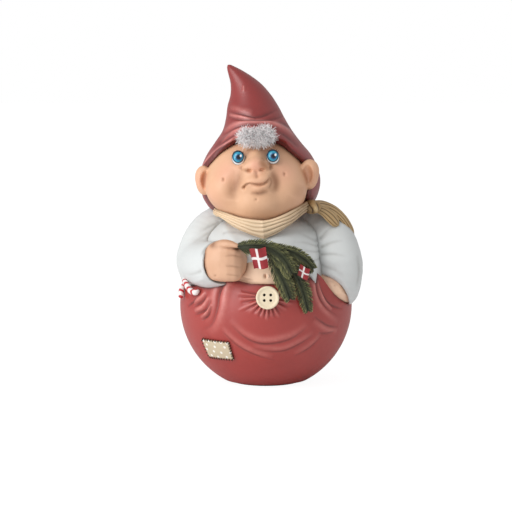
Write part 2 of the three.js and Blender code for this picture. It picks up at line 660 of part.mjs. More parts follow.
const HOLE_STEP = { x: BUTTON_HOLE_SPREAD, y: BUTTON_HOLE_SPREAD * 0.85 };
const buttonFace = new THREE.Shape();
buttonFace.absarc(0, 0, BUTTON_RADIUS - BUTTON_BEVEL, 0, Math.PI * 2, false);
for (const [x, y] of [[1, 1], [-1, 1], [-1, -1], [1, -1]]) {
  const hole = new THREE.Path();
  hole.absarc(x * HOLE_STEP.x, y * HOLE_STEP.y, BUTTON_HOLE_RADIUS, 0, Math.PI * 2, true);
  buttonFace.holes.push(hole);
}
const buttonDisc = new THREE.ExtrudeGeometry(buttonFace, {
  depth: BUTTON_THICKNESS - BUTTON_BEVEL * 2,
  bevelThickness: BUTTON_BEVEL,
  bevelSize: BUTTON_BEVEL,
  bevelSegments: 1,
  curveSegments: 6,
});
buttonDisc.translate(0, 0, BUTTON_BEVEL);
const buttonDiscForm = placeOnBall(buttonDisc, BUTTON_AZIMUTH, BALL_HEIGHT + BUTTON_RISE, BUTTON_OUT);
const pegRadius = HOLE_STEP.y - BUTTON_HOLE_RADIUS;
const pegReach = BUTTON_PEG_LENGTH + BUTTON_OUT;
const buttonPeg = new THREE.CylinderGeometry(pegRadius, pegRadius, pegReach, 12);
buttonPeg.rotateX(Math.PI / 2);
buttonPeg.translate(0, 0, 0.5 - pegReach / 2);
const buttonPegForm = placeOnBall(buttonPeg, BUTTON_AZIMUTH, BALL_HEIGHT + BUTTON_RISE, BUTTON_OUT);

// Patch: a thin cloth square that lies on the ball

const PATCH_CORNERS = {
  topLeft: [-49, 25.2],
  topRight: [-26, 25.2],
  lowRight: [-25, 16],
  lowLeft: [-48, 15.9],
};
const patchGeometry = new THREE.BoxGeometry(1, 1, 1, 6, 3, 1);
reshape(patchGeometry, (point) => {
  const across = point.x + 0.5;
  const up = point.y + 0.5;
  const mix = (k) => THREE.MathUtils.lerp(
    THREE.MathUtils.lerp(PATCH_CORNERS.lowLeft[k], PATCH_CORNERS.lowRight[k], across),
    THREE.MathUtils.lerp(PATCH_CORNERS.topLeft[k], PATCH_CORNERS.topRight[k], across),
    up,
  );
  return onBall(mix(0), level(mix(1)), GAP + (point.z + 0.5) * PATCH_THICKNESS);
});
const patchForm = sealed(patchGeometry);

// Base: ballast poured on the floor of the ball, a stopper in the filling hole and a felt disc

const ballastOutline = [
  [0, FLOOR_TOP + GAP],
  ...ballArc(INNER_RADIUS - GAP * 2, FLOOR_TOP + GAP, BALLAST_TOP, 5),
  [0, BALLAST_TOP],
];
const plugRadius = FILLING_HOLE_RADIUS - GAP;
const plugOutline = [[0, UNDERSIDE], [plugRadius, UNDERSIDE], [plugRadius, FLOOR_TOP], [0, FLOOR_TOP]];
const feltOutline = [[0, 0], [FELT_RADIUS, 0], [FELT_RADIUS, FELT_THICKNESS], [0, FELT_THICKNESS]];

// Fitting the pieces together

const headForms = [headForm, ...earForms];
const headRoom = room(...headForms);
const stemRoom = room(stemForm);
const canes = Object.entries(caneForms);
const caneRoom = room(...Object.values(caneForms));
const coreRoom = room(coreForm);
const shirtRoom = room(shirtForm).add(coreRoom);
const handRoom = room(leftHandForm);
const trousersRoom = room(trousersWhole);
const sleeveRoom = room(...rightSleeveForms, leftSleeveForm);
const fistForms = [rightPalmForm, rightWristForm, thumbForm, ...fingerForms];
const fistWhole = fistForms.map(solid).reduce((all, next) => all.add(next));
const fistRoom = room(...fistForms);

const RED = 0xb5575a;
const SKIN = 0xdcae8c;
const WHITE = 0xe3e4e0;
const CREAM = 0xe6d2a8;

const trousers = solid(trousersShell).subtract(handRoom).subtract(caneRoom).subtract(room(buttonPegForm));
addPiece("trousers_shell", trousers, RED, 0.5);
addPiece("ballast", solid(turned(ballastOutline, 24)), 0x9a9a94, 0.9);
addPiece("base_plug", solid(turned(plugOutline, 20)), 0x2b2b2b, 0.8);
addPiece("base_felt", solid(turned(feltOutline, 36)), 0x5a2f2d, 1);
addPiece("patch", solid(patchForm), 0xcfc2a4, 0.9);
addPiece("button", solid(buttonDiscForm).add(solid(buttonPegForm)), 0xe8dcb8, 0.4);

const torso = solid(coreForm).subtract(room(trousersShell)).subtract(handRoom).subtract(caneRoom);
addPiece("torso", torso, SKIN, 0.5);
const shirt = solid(shirtForm)
  .subtract(coreRoom)
  .subtract(solid(sealed(hemCutter)))
  .subtract(trousersRoom)
  .subtract(handRoom)
  .subtract(caneRoom);
addPiece("shirt", shirt, WHITE, 0.6);
const WAIST_FILL_FLOOR = WAIST_HEIGHT - 12;
const waistFill = turned([
  [0, WAIST_FILL_FLOOR],
  [INNER_RADIUS, WAIST_FILL_FLOOR],
  [SHIRT_OUTLINE[0][0], WAIST_HEIGHT],
  [0, WAIST_HEIGHT],
], 36);
const sleeveStop = shirtRoom.add(trousersRoom).add(caneRoom).add(solid(waistFill));
const rightSleeve = rightSleeveForms.map(solid).reduce((all, next) => all.add(next));
addPiece("right_sleeve", rightSleeve.subtract(sleeveStop).subtract(fistRoom), WHITE, 0.6);
const leftSleeve = solid(leftSleeveForm).subtract(solid(sealed(cuffCutter)));
addPiece("left_sleeve", leftSleeve.subtract(sleeveStop).subtract(handRoom), WHITE, 0.6);
const fist = fistWhole.subtract(stemRoom).subtract(shirtRoom).subtract(trousersRoom);
addPiece("right_fist", fist, SKIN, 0.5);
addPiece("left_hand", solid(leftHandForm), SKIN, 0.5);

const eyeRoom = room(...eyeForms);
const headWhole = headForms.map(solid).reduce((all, next) => all.add(next));
const head = headWhole.subtract(shirtRoom).subtract(eyeRoom);
addPiece("head", head, SKIN, 0.5);
addPiece("right_eye", solid(eyeForms[0]), 0x3aa6c8, 0.15);
addPiece("left_eye", solid(eyeForms[1]), 0x3aa6c8, 0.15);
const kerchief = solid(kerchiefForm)
  .subtract(shirtRoom)
  .subtract(headRoom)
  .subtract(sleeveRoom)
  .subtract(room(knotForm));
addPiece("kerchief", kerchief, CREAM, 0.7);
const hood = solid(hoodForm)
  .subtract(solid(sealed(faceCutter)))
  .add(solid(brimForm))
  .subtract(headRoom)
  .subtract(room(kerchiefForm, knotForm))
  .subtract(shirtRoom)
  .subtract(sleeveRoom);
addPiece("hood", hood, RED, 0.5);
const hoodRoom = room(hoodForm, brimForm);
addPiece("hair_tuft", solid(tuftForm).subtract(hoodRoom).subtract(headRoom), 0xe6dad8, 1);
const knotRoom = room(knotForm);
const upperRoom = shirtRoom.add(sleeveRoom).add(hoodRoom);
addPiece("kerchief_knot", solid(knotForm).subtract(upperRoom).subtract(headRoom), 0x8a6a42, 0.7);
const tailStop = knotRoom.add(upperRoom);
const tailFront = solid(tailFrontForm).subtract(tailStop).subtract(room(tailBackForm));
addPiece("kerchief_tail_front", tailFront, CREAM, 0.7);
addPiece("kerchief_tail_back", solid(tailBackForm).subtract(tailStop), 0xb0926a, 0.7);

addPiece("sprig_stem", solid(stemForm), 0x5a4a30, 0.8);
const frondStop = stemRoom.add(fistRoom).add(shirtRoom).add(trousersRoom);
const taken = [frondStop];
for (const [name, form] of Object.entries(frondForms)) {
  addPiece(name, taken.reduce((left, other) => left.subtract(other), solid(form)), 0x3c4a2c, 0.9);
  taken.push(room(form).add(solid(form)));
}
for (const [name, form] of Object.entries(flagForms)) {
  addPiece(name, taken.reduce((left, other) => left.subtract(other), solid(form)), 0xb4424a, 0.6);
}
for (const [name, form] of canes) {
  addPiece(name, solid(form), 0xd8b8b4, 0.3);
}

export default pieces;
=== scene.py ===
import functools
import math

import bpy
import numpy as np
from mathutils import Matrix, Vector
from mathutils.bvhtree import BVHTree


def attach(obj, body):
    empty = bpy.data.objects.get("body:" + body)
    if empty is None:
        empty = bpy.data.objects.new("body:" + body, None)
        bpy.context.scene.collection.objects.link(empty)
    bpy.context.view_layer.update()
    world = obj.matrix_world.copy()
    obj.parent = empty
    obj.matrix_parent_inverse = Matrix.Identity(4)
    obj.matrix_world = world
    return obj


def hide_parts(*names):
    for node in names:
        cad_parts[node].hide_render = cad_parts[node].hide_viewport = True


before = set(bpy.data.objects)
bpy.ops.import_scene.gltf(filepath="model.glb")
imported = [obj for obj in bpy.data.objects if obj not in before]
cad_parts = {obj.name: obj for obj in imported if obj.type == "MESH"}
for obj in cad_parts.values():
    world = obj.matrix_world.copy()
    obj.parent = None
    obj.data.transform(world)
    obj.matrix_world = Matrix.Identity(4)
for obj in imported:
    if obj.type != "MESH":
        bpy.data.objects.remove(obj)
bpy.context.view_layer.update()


# Camera: 1 m in front of the figure and a little above its middle, with a long lens, so that the
# figure fills the square picture as it does in the photo.
def placed(name, data, place=(0, 0, 0), looks_at=None):
    """Puts a thing in the scene, turned towards a place where one is given."""
    thing = bpy.data.objects.new(name, data)
    thing.location = place
    if looks_at is not None:
        thing.rotation_euler = (looks_at - thing.location).to_track_quat("-Z", "Y").to_euler()
    bpy.context.scene.collection.objects.link(thing)
    return thing


AIM = Vector((-0.005, 0, 0.0627))
RISE = math.radians(7)
camera = placed("camera", bpy.data.cameras.new("camera"), AIM + Vector((0, -math.cos(RISE), math.sin(RISE))), AIM)
camera.data.lens = 140.6
camera.data.sensor_width = 36
bpy.context.scene.camera = camera
bpy.context.scene.view_settings.view_transform = "Standard"


# Studio: one large soft lamp high on the left, a second low on the left that gives the satin
# paint its sheen, white walls all round, and a white table that keeps the contact shadow.
def feed(tree, node, inputs):
    """Fills a node's inputs, each with a plain value or from another node's socket."""
    for socket, value in inputs.items():
        if isinstance(value, bpy.types.NodeSocket):
            tree.links.new(value, node.inputs[socket])
        else:
            node.inputs[socket].default_value = value


def add(tree, kind, inputs=None, **settings):
    """A new shader node with its settings and its inputs."""
    node = tree.nodes.new("ShaderNode" + kind)
    for setting, value in settings.items():
        setattr(node, setting, value)
    feed(tree, node, inputs or {})
    return node


FIGURE_MIDDLE = Vector((0, 0, 0.07))
LAMPS = {"key lamp": (0.55, 3.7, (-0.62, -0.62, 0.86)), "side lamp": (0.6, 4.6, (-0.88, -0.6, 0.33))}
for name, (size, energy, place) in LAMPS.items():
    lamp = bpy.data.lights.new(name, "AREA")
    lamp.size = size
    lamp.energy = energy
    placed(name, lamp, place, FIGURE_MIDDLE)

# The walls look white and light the figure less than that. The table glows in part by itself.
WALL_LIGHT, TABLE_GLOW = 0.58, 0.84
walls = bpy.data.worlds.new("white walls")
bpy.context.scene.world = walls
walls.use_nodes = True
tree = walls.node_tree
tree.nodes.clear()
path = add(tree, "LightPath").outputs
seen = add(tree, "Math", {0: path["Is Camera Ray"], 1: path["Is Transmission Ray"]}, operation="MAXIMUM")
strength = add(tree, "MapRange", {"Value": seen.outputs[0], "To Min": WALL_LIGHT, "To Max": 1})
light = add(tree, "Background", {"Color": (1, 1, 1, 1), "Strength": strength.outputs[0]})
add(tree, "OutputWorld", {"Surface": light.outputs[0]})

table_mesh = bpy.data.meshes.new("table")
table_mesh.from_pydata([(-3, -3, 0), (3, -3, 0), (3, 3, 0), (-3, 3, 0)], [], [(0, 1, 2, 3)])
table_finish = bpy.data.materials.new("white table")
table_finish.use_nodes = True
tree = table_finish.node_tree
tree.nodes.clear()
seen = add(tree, "Math", {0: add(tree, "LightPath").outputs["Is Camera Ray"], 1: TABLE_GLOW}, operation="MULTIPLY")
matt = add(tree, "BsdfDiffuse", {"Color": (0.94, 0.94, 0.94, 1)})
glow = add(tree, "Emission", {"Strength": 1.12})
both = add(tree, "MixShader", {0: seen.outputs[0], 1: matt.outputs[0], 2: glow.outputs[0]})
add(tree, "OutputMaterial", {"Surface": both.outputs[0]})
table_mesh.materials.append(table_finish)
table = placed("table", table_mesh)


# Trousers: a hollow resin ball with an open waist, a pocket mouth on each side, folds pressed
# into the cloth and gathers round the button. It is painted in matt red, then a brown wash is
# brushed into its folds. All sizes are in millimetres until a piece is cast.
BALL = 43
BALL_MIDDLE = 38.5
WALL = 5
UNDERSIDE = 1.1
FILLING_HOLE = 9
FLOOR_TOP = 5.1
WAIST_LINE = [
    (-180, 54), (-94, 53.6), (-84, 50.5), (-73, 49.2), (-57, 50.2), (-45, 53), (-31, 53.7), (-23, 54.4),
    (-17, 55.6), (-11, 54.3), (1, 53.2), (14, 53.6), (24, 56), (35, 59.5), (42, 56.5), (50, 48.6),
    (60, 43.5), (70, 41), (78, 45), (86, 53.2), (100, 54), (180, 54),
]
castings = {}


def colour(screen):
    """A paint colour from its three screen values."""
    return (*(((v / 255 + 0.055) / 1.055) ** 2.4 if v > 10 else v / 255 / 12.92 for v in screen), 1)


def soft_line(knots, where):
    """Values of a smooth line through knots of place and value."""
    x, y = np.array(knots, float).T
    slopes = np.gradient(y, x)
    k = np.clip(np.searchsorted(x, where, side="right") - 1, 0, len(x) - 2)
    width = x[k + 1] - x[k]
    t = np.clip((where - x[k]) / width, 0, 1)
    rising = (1 + 2 * t) * (1 - t) ** 2 * y[k] + t * (1 - t) ** 2 * width * slopes[k]
    return rising + t**2 * (3 - 2 * t) * y[k + 1] + t**2 * (t - 1) * width * slopes[k + 1]


def curve_through(knots, count):
    """Evenly numbered points of a smooth curve through knots."""
    knots = np.array(knots, float)
    padded = np.vstack([2 * knots[0] - knots[1], knots, 2 * knots[-1] - knots[-2]])
    place = np.linspace(0, len(knots) - 1, count)
    k = np.minimum(place.astype(int), len(knots) - 2)
    t = (place - k)[:, None]
    a, b, c, d = padded[k], padded[k + 1], padded[k + 2], padded[k + 3]
    return 0.5 * (2 * b + (c - a) * t + (2 * a - 5 * b + 4 * c - d) * t**2 + (3 * b - a - 3 * c + d) * t**3)


def on_ball(azimuth, height, out=0.0):
    """A place on the trousers: azimuth in degrees from the front towards +X, height and distance out."""
    ring = np.sqrt(np.maximum((BALL + out) ** 2 - (np.asarray(height, float) - BALL_MIDDLE) ** 2, 0))
    turn = np.radians(azimuth)
    return np.stack(np.broadcast_arrays(np.sin(turn) * ring, -np.cos(turn) * ring, height), -1)


def grid_faces(rows, columns, closed_rows=False, closed_columns=True):
    """Four-sided faces between rows of points."""
    r = np.arange(rows if closed_rows else rows - 1)
    c = np.arange(columns if closed_columns else columns - 1)
    r, c = np.meshgrid(r, c, indexing="ij")
    r2, c2 = (r + 1) % rows, (c + 1) % columns
    return np.stack([r * columns + c, r * columns + c2, r2 * columns + c2, r2 * columns + c], -1).reshape(-1, 4)


def unit(vectors):
    """The same directions, each one long."""
    return vectors / np.maximum(np.linalg.norm(vectors, axis=-1, keepdims=True), 1e-9)


def outward(points, faces):
    """The direction straight out of the surface at every point."""
    corners = points[faces]
    leaning = np.cross(corners[:, 2] - corners[:, 0], corners[:, 3] - corners[:, 1])
    spread = (np.bincount(faces.ravel(), np.repeat(leaning[:, axis], 4), len(points)) for axis in range(3))
    return unit(np.stack(list(spread), -1))


def near_line(points, facing, knots, spread, fade):
    """1 on a drawn line and softly 0 away from it. It can fade to its far end, or to both ends.

    A line with two numbers a place, across and up, is drawn from the front on what faces the front."""
    line = np.array(knots, float)
    from_front = line.shape[1] == 2
    if from_front:
        line = np.insert(line, 1, 0, axis=1)
        points = points * (1, 0, 1)
    if len(line) > 2:
        line = curve_through(line, 6 * len(line))
    if len(line) == 1:
        line = np.vstack([line, line + (0, 0, 1e-3)])
    near = np.flatnonzero(((points > line.min(0) - 3 * spread) & (points < line.max(0) + 3 * spread)).all(1))
    spots = points[near]
    gap = np.full(len(spots), 1e9)
    run = np.zeros(len(spots))
    lengths = np.linalg.norm(np.diff(line, axis=0), axis=1)
    before = np.concatenate([[0], np.cumsum(lengths)])
    for k, length in enumerate(lengths):
        step = line[k + 1] - line[k]
        t = np.clip((spots - line[k]) @ step / max(length**2, 1e-12), 0, 1)
        away = np.linalg.norm(spots - line[k] - t[:, None] * step, axis=1)
        nearer = away < gap
        gap[nearer] = away[nearer]
        run[nearer] = (before[k] + t * length)[nearer] / before[-1]
    strength = np.exp(-((gap / spread) ** 2))
    if fade == "end":
        strength *= np.clip(1 - run, 0, 1) ** 0.8
    if fade == "ends":
        strength *= np.sin(np.pi * np.clip(run, 0, 1)) ** 0.6
    if from_front:
        strength *= np.clip(facing[near] * 4, 0, 1)
    result = np.zeros(len(points))
    result[near] = strength
    return result


def press(points, faces, marks):
    """Sinks and lifts the surface along drawn lines. Gives the points, how deep each lies and how raised."""
    normals = outward(points, faces)
    facing = -normals[:, 1]
    lift = np.zeros(len(points))
    deep = np.zeros(len(points))
    raised = np.zeros(len(points))
    for knots, spread, height, fade in marks:
        strength = near_line(points, facing, knots, spread, fade)
        lift += strength * height
        if height < 0:
            deep = np.maximum(deep, near_line(points, facing, knots, spread * 0.6, fade) * min(1, -height / 0.5))
        else:
            raised = np.maximum(raised, strength * min(1, height / 0.8))
    return points + normals * lift[:, None], deep, raised


def new_group(name, inputs, outputs):
    """An empty shader group. Its sockets are named by kind. Gives the group, what it is fed and its end."""
    group = bpy.data.node_groups.new(name, "ShaderNodeTree")
    for way, sockets in (("INPUT", inputs), ("OUTPUT", outputs)):
        for kind, labels in sockets.items():
            for label in labels:
                group.interface.new_socket(label, in_out=way, socket_type="NodeSocket" + kind)
    return group, group.nodes.new("NodeGroupInput").outputs, group.nodes.new("NodeGroupOutput")


def mixed(tree, amount, first, second):
    """A colour mix node. Each colour is a socket or three screen values."""
    first, second = (v if isinstance(v, bpy.types.NodeSocket) else colour(v) for v in (first, second))
    return add(tree, "Mix", {0: amount, 6: first, 7: second}, data_type="RGBA").outputs[2]


def reckon(tree, operation, first, second=0.0, clamp=False):
    """A math node fed by sockets or plain values."""
    return add(tree, "Math", {0: first, 1: second}, operation=operation, use_clamp=clamp).outputs[0]


def speckle(tree, place, scale, detail=3.0, roughness=0.5):
    """A noise node's value at a scale in parts per metre."""
    noise = {"Vector": place, "Scale": scale, "Detail": detail, "Roughness": roughness}
    return add(tree, "TexNoise", noise).outputs["Fac"]


def mark_of(tree, mark):
    """The value of a mark that the mesh carries."""
    return add(tree, "Attribute", attribute_name=mark).outputs["Fac"]


# The painter's work, as one group: uneven paint, a brown wash that settles in the creases and
# thins out unevenly, and a dry brush that catches the raised edges.
brushwork, given, coat = new_group(
    "brushwork",
    {
        "Vector": ["Place"], "Color": ["Paint", "Shade", "Wash", "Dry Brush"],
        "Float": ["Crease", "Ridge", "Unevenness", "Matt"],
    },
    {"Color": ["Colour"], "Float": ["Roughness", "Height"]},
)
tree = brushwork
broad_patches = speckle(tree, given["Place"], 70, 2)
brush_marks = speckle(tree, given["Place"], 420, 4, 0.6)
fine_grain = speckle(tree, given["Place"], 2600, 2)
cloudy = reckon(tree, "ADD", reckon(tree, "MULTIPLY", broad_patches, 0.65), reckon(tree, "MULTIPLY", brush_marks, 0.35))
cloudy = reckon(tree, "MULTIPLY", reckon(tree, "SUBTRACT", cloudy, 0.42, True), 2.4, True)
cloudy = reckon(tree, "MULTIPLY", cloudy, given["Unevenness"], True)
dry = reckon(tree, "MULTIPLY", given["Ridge"], reckon(tree, "ADD", brush_marks, 0.2), True)
settled = reckon(tree, "MULTIPLY", given["Crease"], reckon(tree, "ADD", brush_marks, 0.45), True)
matt = reckon(tree, "ADD", reckon(tree, "MULTIPLY", brush_marks, 0.12), given["Matt"])
bare_coat = mixed(tree, dry, mixed(tree, cloudy, given["Paint"], given["Shade"]), given["Dry Brush"])
feed(tree, coat, {
    "Colour": mixed(tree, settled, bare_coat, given["Wash"]),
    "Roughness": reckon(tree, "ADD", matt, reckon(tree, "MULTIPLY", settled, 0.2), True),
    "Height": reckon(
        tree, "ADD", reckon(tree, "MULTIPLY", brush_marks, 0.7), reckon(tree, "MULTIPLY", fine_grain, 0.3)
    ),
})


def new_finish(name):
    """A new material, with its node tree, its shader and the place on the piece."""
    finish = bpy.data.materials.new(name)
    finish.use_nodes = True
    tree = finish.node_tree
    return finish, tree, tree.nodes["Principled BSDF"], add(tree, "TexCoord").outputs["Object"]


def painted(name, paint, shade, wash, dry_brush, unevenness=0.6, bump=0.00006, matt=0.42, sheen=0.5):
    """A painted resin finish. Its mesh says where the creases and the raised edges are."""
    finish, tree, skin, place = new_finish(name)
    group = add(tree, "Group", {
        "Place": place, "Paint": colour(paint), "Shade": colour(shade), "Wash": colour(wash),
        "Dry Brush": colour(dry_brush), "Crease": mark_of(tree, "crease"), "Ridge": mark_of(tree, "ridge"),
        "Unevenness": unevenness, "Matt": matt,
    }, node_tree=brushwork)
    relief = add(tree, "Bump", {"Strength": 0.5, "Distance": bump, "Height": group.outputs["Height"]})
    feed(tree, skin, {
        "Base Color": group.outputs["Colour"], "Roughness": group.outputs["Roughness"],
        "Normal": relief.outputs[0], "Specular IOR Level": sheen,
    })
    return finish


def overpaint(finish, mark, screen):
    """Paints one more colour on a finish, where the mesh has a mark."""
    tree = finish.node_tree
    skin = tree.nodes["Principled BSDF"]
    under = skin.inputs["Base Color"].links[0].from_socket
    feed(tree, skin, {"Base Color": mixed(tree, mark_of(tree, mark), under, screen)})


def cast(name, points, faces, finish, slot, *nodes, **marks):
    """Turns points and faces in millimetres into a piece that stands for its CAD nodes."""
    mesh = bpy.data.meshes.new(name)
    mesh.from_pydata((points / 1000).tolist(), [], faces.tolist())
    mesh.polygons.foreach_set("use_smooth", np.ones(len(faces), bool))
    for mark in ("crease", "ridge"):
        marks.setdefault(mark, np.zeros(len(points)))
    for mark, values in marks.items():
        layer = mesh.attributes.new(mark, "FLOAT", "POINT")
        layer.data.foreach_set("value", np.asarray(values, np.float32))
    mesh.materials.append(finish)
    mesh.update()
    piece = placed(name, mesh)
    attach(piece, "root")
    if nodes:
        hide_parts(*nodes)
    castings[name] = (points, faces)


around = 720
turns = np.arange(around) / around * 360 - 180
azimuths = np.radians(turns)
waist = soft_line(WAIST_LINE, turns)


def wall_arc(radius, start, end, count):
    """Radius and height along the ball's wall at every azimuth, evenly spaced from one height to another."""
    low = np.arcsin(np.clip((start - BALL_MIDDLE) / radius, -1, 1))
    high = np.arcsin(np.clip((end - BALL_MIDDLE) / radius, -1, 1))
    angle = low + (high - low) * np.linspace(0, 1, count)[:, None]
    return radius * np.cos(angle), BALL_MIDDLE + radius * np.sin(angle)


def level_ring(radius, height):
    """Radius and height of one level ring."""
    return np.full((1, around), float(radius)), np.full((1, around), float(height))


def turned(radii, heights, width=1):
    """Points all round the upright axis, at a share of their width across."""
    across = np.sin(azimuths) * radii * width
    return np.stack(np.broadcast_arrays(across, -np.cos(azimuths) * radii, heights), -1).reshape(-1, 3)


outside = wall_arc(BALL, np.full(around, UNDERSIDE), waist, 200)
inside = wall_arc(BALL - WALL, waist - 0.8, np.full(around, FLOOR_TOP), 24)
lip_shares = np.array([0.06, 0.16, 0.3, 0.5, 0.7, 0.88])[:, None]
lip = (outside[0][-1] - WALL * lip_shares, waist + 0.9 * np.sin(math.pi * lip_shares) ** 0.5)
section = [
    level_ring(FILLING_HOLE, UNDERSIDE), level_ring(15, UNDERSIDE), outside, lip, inside,
    level_ring(FILLING_HOLE, FLOOR_TOP),
]
ring, height = (np.vstack(part) for part in zip(*section))
points = turned(ring, height)
faces = grid_faces(len(ring), around, closed_rows=True)

# Lines of azimuth and height: the pocket seam, the folds from each pocket and the slack under the belly.
CLOTH_FOLDS = [
    ([(-31.1, 53.4), (-33.1, 48.4), (-33.7, 41.4), (-38.3, 33.3), (-48.2, 29.5)], 1.0, -1.2, "end"),
    ([(-27.5, 54), (-28.5, 48), (-29.8, 41), (-33.5, 33.9), (-42, 28)], 2.4, 1.0, "end"),
    ([(-36.5, 53), (-38, 46), (-39.5, 40), (-44, 34)], 2.2, 0.6, "end"),
    ([(-55.2, 40.9), (-47.2, 43.9), (-43.3, 47.5)], 0.9, -0.9, "ends"),
    ([(-56, 42.8), (-49, 45.6), (-45, 49)], 1.2, 0.8, "ends"),
    ([(-54.5, 36.8), (-43.3, 40.1), (-38.6, 45.7)], 0.9, -0.95, "ends"),
    ([(-54.5, 38.8), (-46, 41.6), (-41, 47)], 1.2, 0.8, "ends"),
    ([(-47.4, 34.6), (-41, 37.6), (-38.1, 42.4)], 0.8, -0.85, "ends"),
    ([(-48, 36), (-42.4, 39), (-39, 43.6)], 1.0, 0.7, "ends"),
    ([(-60, 46), (-54, 47), (-49, 49.5)], 0.8, -0.6, "ends"),
    ([(-64, 40), (-58, 42.4), (-53, 45.6)], 0.9, -0.5, "ends"),
    ([(36.8, 53.9), (36.6, 48.8), (39.4, 44.5), (45.4, 39.9), (57.8, 34.9)], 0.9, -0.8, "end"),
    ([(34.4, 54.4), (34.4, 48.8), (37, 43.5), (43.4, 38.6), (55, 33)], 1.3, 0.9, "end"),
    ([(39.2, 55.9), (40.2, 50), (43.7, 44.8), (50.5, 41.3), (60.6, 39.1)], 0.8, -0.65, "ends"),
    ([(38.2, 54.9), (38.7, 49.4), (42, 44), (48, 40)], 1.0, 0.8, "ends"),
    ([(32.0, 38.0), (37.8, 35.1), (45.0, 32.2), (56.1, 30.5)], 0.9, -0.4, "ends"),
    ([(32.0, 36.0), (37.8, 33.1), (45.0, 30.4), (56.1, 28.7)], 1.4, 0.4, "ends"),
    ([(37.0, 29.2), (44.6, 28.3), (52.5, 28.7)], 0.9, -0.35, "ends"),
    ([(30.3, 57.3), (31, 53.3), (31.7, 48.5)], 0.8, -0.5, "end"),
    ([(28.3, 57.3), (29, 53.3), (29.2, 48.5)], 1.2, 0.6, "end"),
    ([(-23.0, 33.9), (-13.9, 27.9), (-3.4, 25.0), (8.9, 25.6), (17.9, 27.8), (27.2, 32.4)], 0.9, -0.42, "ends"),
    ([(-24.0, 36.4), (-13.9, 30.2), (-3.4, 27.2), (8.9, 27.8), (18.6, 30.0), (27.6, 34.4)], 1.7, 0.4, "ends"),
    ([(-30.1, 30.5), (-19.6, 23.4), (-8.0, 19.2), (6.5, 16.2)], 0.9, -0.34, "ends"),
    ([(-31, 33), (-19.6, 25.4), (-8.0, 21), (5, 18.2)], 1.5, 0.4, "ends"),
    ([(-9.7, 22.3), (9.4, 20.8), (22.1, 23.9), (32.5, 28.5)], 0.9, -0.36, "ends"),
    ([(-9.7, 24.2), (9.4, 22.6), (22.1, 25.8), (32.5, 30.2)], 1.4, 0.35, "ends"),
    ([(20.6, 18.0), (32.2, 22.0), (39.9, 27.2)], 0.9, -0.3, "ends"),
    ([(20.0, 19.6), (31.5, 23.8), (39, 29)], 1.3, 0.3, "ends"),
]
# The gathers that the button pulls together: a start and an end of each, then its width and depth.
GATHERS = [
    ((-6.7, 49.2), (-17.3, 50.9), 0.6, -0.55), ((-6.8, 48.6), (-19.5, 49.6), 0.7, 0.35),
    ((-6.9, 48.0), (-18.7, 48.0), 0.6, -0.6), ((-6.8, 47.3), (-18.2, 46.6), 0.7, 0.4),
    ((-6.7, 46.8), (-16.8, 45.0), 0.6, -0.6), ((-6.2, 45.7), (-18.6, 41.2), 0.6, 0.55),
    ((-5.8, 45.1), (-15.0, 40.9), 0.6, -0.5), ((-5.4, 44.5), (-11.6, 39.9), 0.6, 0.3),
    ((-4.4, 43.8), (-9.0, 39.8), 0.5, -0.5), ((-3.5, 43.3), (-6.9, 39.2), 0.5, 0.5),
    ((-2.6, 42.9), (-5.0, 38.2), 0.5, -0.5), ((-1.6, 42.6), (-3.2, 37.6), 0.5, 0.3),
    ((-0.6, 42.4), (-1.4, 37.4), 0.5, -0.55), ((0.5, 42.4), (0.2, 36.4), 0.5, 0.5),
    ((1.5, 42.4), (2.4, 37.6), 0.5, -0.5), ((2.5, 42.5), (4.4, 37.8), 0.5, 0.3),
    ((3.4, 42.8), (6.0, 38.0), 0.5, -0.5), ((4.3, 43.1), (8.4, 38.0), 0.5, 0.5),
    ((5.1, 43.6), (9.4, 39.6), 0.5, -0.45), ((6.7, 44.8), (13.6, 41.4), 0.6, 0.3),
    ((7.3, 45.4), (15.0, 42.8), 0.6, -0.5), ((7.7, 46.2), (18.0, 44.4), 0.6, 0.4),
    ((8.0, 46.8), (20.3, 45.7), 0.6, -0.55), ((8.2, 47.7), (20.3, 47.7), 0.6, 0.4),
    ((8.2, 48.6), (18.7, 49.3), 0.6, -0.5), ((7.7, 49.9), (15.3, 51.8), 0.6, 0.35),
]
GATHER_DEPTH = 1.7
marks = [(on_ball(*np.array(line).T), spread, lift, fade) for line, spread, lift, fade in CLOTH_FOLDS]
for start, end, spread, lift in GATHERS:
    marks.append((on_ball(*np.array([start, end]).T), spread, lift * GATHER_DEPTH, "end"))
points, crease, ridge = press(points, faces, marks)
red_paint = painted(
    "red trouser paint", (168, 48, 40), (150, 40, 33), (80, 24, 21), (240, 156, 146),
    unevenness=0.7, bump=0.00005, matt=0.38, sheen=0.9,
)
cast("trousers", points, faces, red_paint, "red_paint", "trousers_shell", crease=crease * 0.8, ridge=ridge * 0.8)


# Inside and underneath: a grey plaster weight, a black rubber stopper and a disc of felt. They
# are the model's own solids and only take their finish here.
def plain_finish(name, first, second, scale, rough, bump):
    """A finish of two close colours in fine specks, with a soft relief."""
    finish, tree, skin, place = new_finish(name)
    specks = speckle(tree, place, scale, 4, 0.65)
    relief = add(tree, "Bump", {"Distance": bump, "Height": specks})
    feed(tree, skin, {
        "Base Color": mixed(tree, specks, first, second), "Normal": relief.outputs[0], "Roughness": rough,
    })
    return finish


